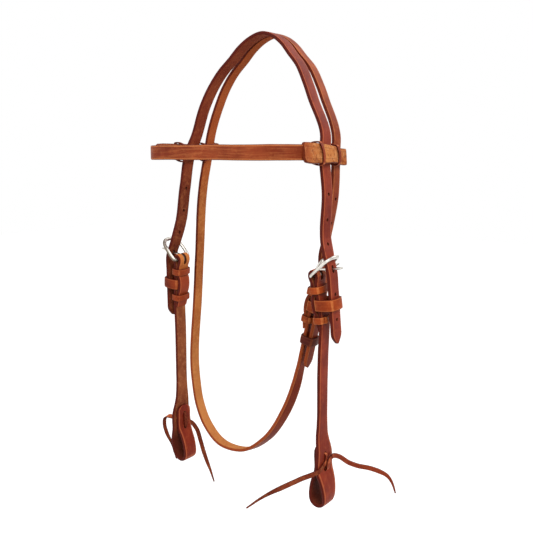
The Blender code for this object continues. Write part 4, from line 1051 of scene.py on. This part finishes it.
def bandSide(side):
    # Browband from its flap's free end, back round both poll straps, then forward to the front's middle
    shift = leather.thickness / 2 + browband.ease + browband.thickness / 2
    crownY = -pollArch.crownSweep
    rearY = crownY + pollArch.pitch
    edge, rearEdge = leather.strapWidth / 2, leather.throatWidth / 2
    flap, droop = sided(browband, "Flap", side), sided(browband, "Droop", side)

    def row(y, out, droopShare, width=browband.width):
        across = (-side * math.sin(leanAt(y)), 0, math.cos(leanAt(y)))
        return Knot(bandPlace(side, y, out, -droop * droopShare), across, width, browband.thickness)

    def frontRow(x, y, z=bandHeight, across=upWay):
        return Knot((side * x, y, z), across, browband.width, browband.thickness)

    flapEnd, tread = crownY - browband.flapReach, browband.nearFlap / 8
    treads = (
        (flapEnd, 1.0, 0.62, 0.20), (flapEnd + tread * 0.4, 1.0, 0.94, 0.22),
        (flapEnd + tread * 1.2, 0.95, 1.14, 0.25), (flapEnd + tread * 5, 0.55, 1.20, 0.34),
        (crownY - edge, 0.0, 1.13, 0.46), (crownY, 0.0, 1.06, 0.52),
        (crownY + edge, 0.0, 1.0, 0.6), (rearY - rearEdge, 0.0, 0.98, 0.8),
    )
    rows = [
        row(y, shift + browband.flapFlare * flareShare, droopShare, flap * widthShare)
        for y, flareShare, widthShare, droopShare in treads
    ]
    for turn in (0, 30, 60, 90, 120, 150, 180):
        cosine, sine = turned(turn)
        width = browband.nearFlap + (browband.width - browband.nearFlap) * turn / 180
        rows.append(row(rearY + rearEdge + shift * sine, shift * cosine, 1.0, width))
    run = (rearY - rearEdge, crownY + edge, crownY, crownY - edge)
    rows += [row(y, -shift, droopShare) for y, droopShare in zip(run, browband.innerDroops)]
    start, cornerY = rows[-1], browband.corner - browband.frontSweep
    for outShare, ahead in browband.sideShares:
        x = partWay(side * start.point.x, browband.span, outShare)
        y, z = partWay(start.point.y, cornerY, ahead), partWay(start.point.z, bandHeight, ahead)
        rows.append(frontRow(x, y, z, start.across.lerp(upWay, ahead)))
    for turn in (0, 22.5, 45, 67.5, 90):
        cosine, sine = turned(turn)
        x = browband.span - browband.corner * (1 - cosine)
        rows.append(frontRow(x, cornerY - browband.corner * sine))
    return rows


def bandLaceRows(side):
    # One thong wound twice round band and flap: between the two poll straps, then ahead of the crown strap
    grip = leather.thickness / 2 + browband.ease + browband.thickness + bandLace.ease + bandLace.thickness / 2
    outside = bandLace.ease + bandLace.thickness / 2 - bandLace.corner
    inner, rise = grip - bandLace.corner, browband.width / 4
    level = browband.width / 2 + outside

    def row(y, out, up):
        return Knot(bandPlace(side, y, out, up), aftWay, bandLace.width, bandLace.thickness, keeperBand.bevel)

    firstY, secondY = [pollArch.pitch * share - pollArch.crownSweep for share in bandLace.sets]
    rows = [row(firstY, -grip, -rise)]
    for y, droopShare, flapShare in zip((firstY, secondY), bandLace.droops, bandLace.flapShares):
        if y == secondY:
            low = rows[-1].point.z - bandHeight
            for share in bandLace.crossings:
                rows.append(row(partWay(firstY, secondY, share), -grip, partWay(low, rise, share)))
        droop = sided(browband, "Droop", side) * droopShare
        half = sided(browband, "Flap", side) / 2 * flapShare
        top, bottom = half - droop + outside, -half - droop - outside
        rows.append(row(y, -grip, rise))
        bends = ((-inner, level, 180), (inner, top, 90), (inner, bottom, 0), (-inner, -level, -90))
        for out, up, first in bends:
            for turn in (first, first - 45, first - 90):
                cosine, sine = turned(turn)
                rows.append(row(y, out + bandLace.corner * cosine, up + bandLace.corner * sine))
    rows.append(row(secondY, -grip, -rise))
    return rows


middle = Knot((0, -browband.frontSweep, bandHeight), upWay, browband.width, browband.thickness)
rows = smooth(bandSide(1) + [middle] + bandSide(-1)[::-1])
add("browband", rows, "band", "browband_slide", grainSide=-1, spans=7)
for name, side in sides:
    node = "browband_lace_" + name
    add(node, bandLaceRows(side), "lace", "browband_slide", fine=True, spans=3, crown=0.0)
print("browband made")


wire, band = dict(fine=True, arc=5, crown=0.0), dict(closed=True, fine=True, crown=keeperBand.crown)
low, high = -ply - leather.thickness / 2, ply + leather.thickness / 2
# The billet keeper runs between the two layers of the folded strap
parted = leather.fit / 2 - leather.fit * 2 - keeperBand.thickness + keeperBand.thickness + leather.fit
stations = [("cheek", "_" + name, cheekStation(side), "headstall") for name, side in sides]
stations.append(("throat", "", throat, "throatlatch"))
for prefix, ending, station, carrier in stations:
    frameBody, tongue = f"{prefix}_frame{ending}", f"{prefix}_tongue{ending}"
    add(f"{prefix}_buckle{ending}", buckleFrame(station), "nickel", frameBody, closed=True, spans=4, **wire)
    add(tongue, buckleTongue(station), "nickel", tongue, spans=2, **wire)
    ease = keeperBand.ease if prefix == "cheek" else 0.0
    billetFace = station.billetDepth(keeperBand.billetAt) + leather.thickness / 2 + ease
    for part, near, far, lap in (
        ("upper", low, high, False), ("billet", parted, billetFace, False), ("lower", low, high, True),
    ):
        rows = keeper(station, keeperBand[part + "At"], keeperBand[part + "Width"], near, far, lap)
        # The off side's keepers take the copy with painted shade
        look = "keeper" if station.side > 0 else "shadedKeeper"
        add(f"{prefix}_{part}_keeper{ending}", rows, look, carrier, grainSide=-station.side, **band)
billetFace = throatBuckle.standoff + leather.thickness / 2
rows = keeper(throat, keeperBand.loopAt, keeperBand.loopWidth, leather.fit / 2, billetFace + leather.fit)
add("throat_running_loop", rows, "loop", "running_loop", grainSide=-1, **band)
print("buckles and keepers made")


studio = Sizes(
    floorDrop=0.95, floorHalf=6.0, floorTone=(0.55, 0.55, 0.55, 1.0), floorPale=(0.62, 0.62, 0.62, 1.0),
    floorGlow=(0.75, 0.75, 0.75, 1.0), skyLight=0.58,
    lamps=(
        ("key", (1.7, -1.3, 1.3), 1.2, 40.0), ("fill", (-0.9, -1.7, 0.6), 1.6, 9.0),
        ("rear", (0.6, 1.6, 1.2), 1.4, 10.0),
    ),
    aim=(0, 0, -0.22),
)


def seenDirectly():
    # 1 for the camera and for what glossy and clear things show
    rays = [Wire.make("LightPath", output=f"Is {kind} Ray") for kind in ("Camera", "Glossy", "Transmission")]
    return rays[0].math("MAXIMUM", rays[1].math("MAXIMUM", rays[2]))


paper, shader, place = newMaterial("paper")
tooth = place.grain(40.0, 4.0)
Wire.join(tooth.step(0.2, 0.8).blend(studio.floorTone, studio.floorPale), shader.inputs["Base Color"])
Wire.join(tooth * 0.1 + 0.85, shader.inputs["Roughness"])
Wire.join(seenDirectly().blend((0.0, 0.0, 0.0, 1.0), studio.floorGlow), shader.inputs["Emission Color"])
shader.inputs["Emission Strength"].default_value = 1.0

half = studio.floorHalf
corners = [(x, y, -studio.floorDrop) for x, y in ((-half, -half), (half, -half), (half, half), (-half, half))]
mesh = bpy.data.meshes.new("floor")
mesh.from_pydata(corners, [], [(0, 1, 2, 3)])
mesh.materials.append(paper)
floor = bpy.data.objects.new("floor", mesh)
scene.collection.objects.link(floor)

world = bpy.data.worlds.new("studio")
scene.world = world
world.use_nodes = True
Wire.tree = world.node_tree
background = world.node_tree.nodes["Background"]
background.inputs["Color"].default_value = (1.0, 1.0, 1.0, 1.0)
Wire.join(seenDirectly() * (1.0 - studio.skyLight) + studio.skyLight, background.inputs["Strength"])

for name, place, size, power in studio.lamps:
    lamp = bpy.data.lights.new(name, "AREA")
    lamp.size, lamp.energy = size, power
    made = bpy.data.objects.new(name, lamp)
    made.location = place
    made.rotation_euler = (Vector(studio.aim) - Vector(place)).to_track_quat("-Z", "Y").to_euler()
    scene.collection.objects.link(made)
print("stage and lamps made")

bpy.context.view_layer.update()
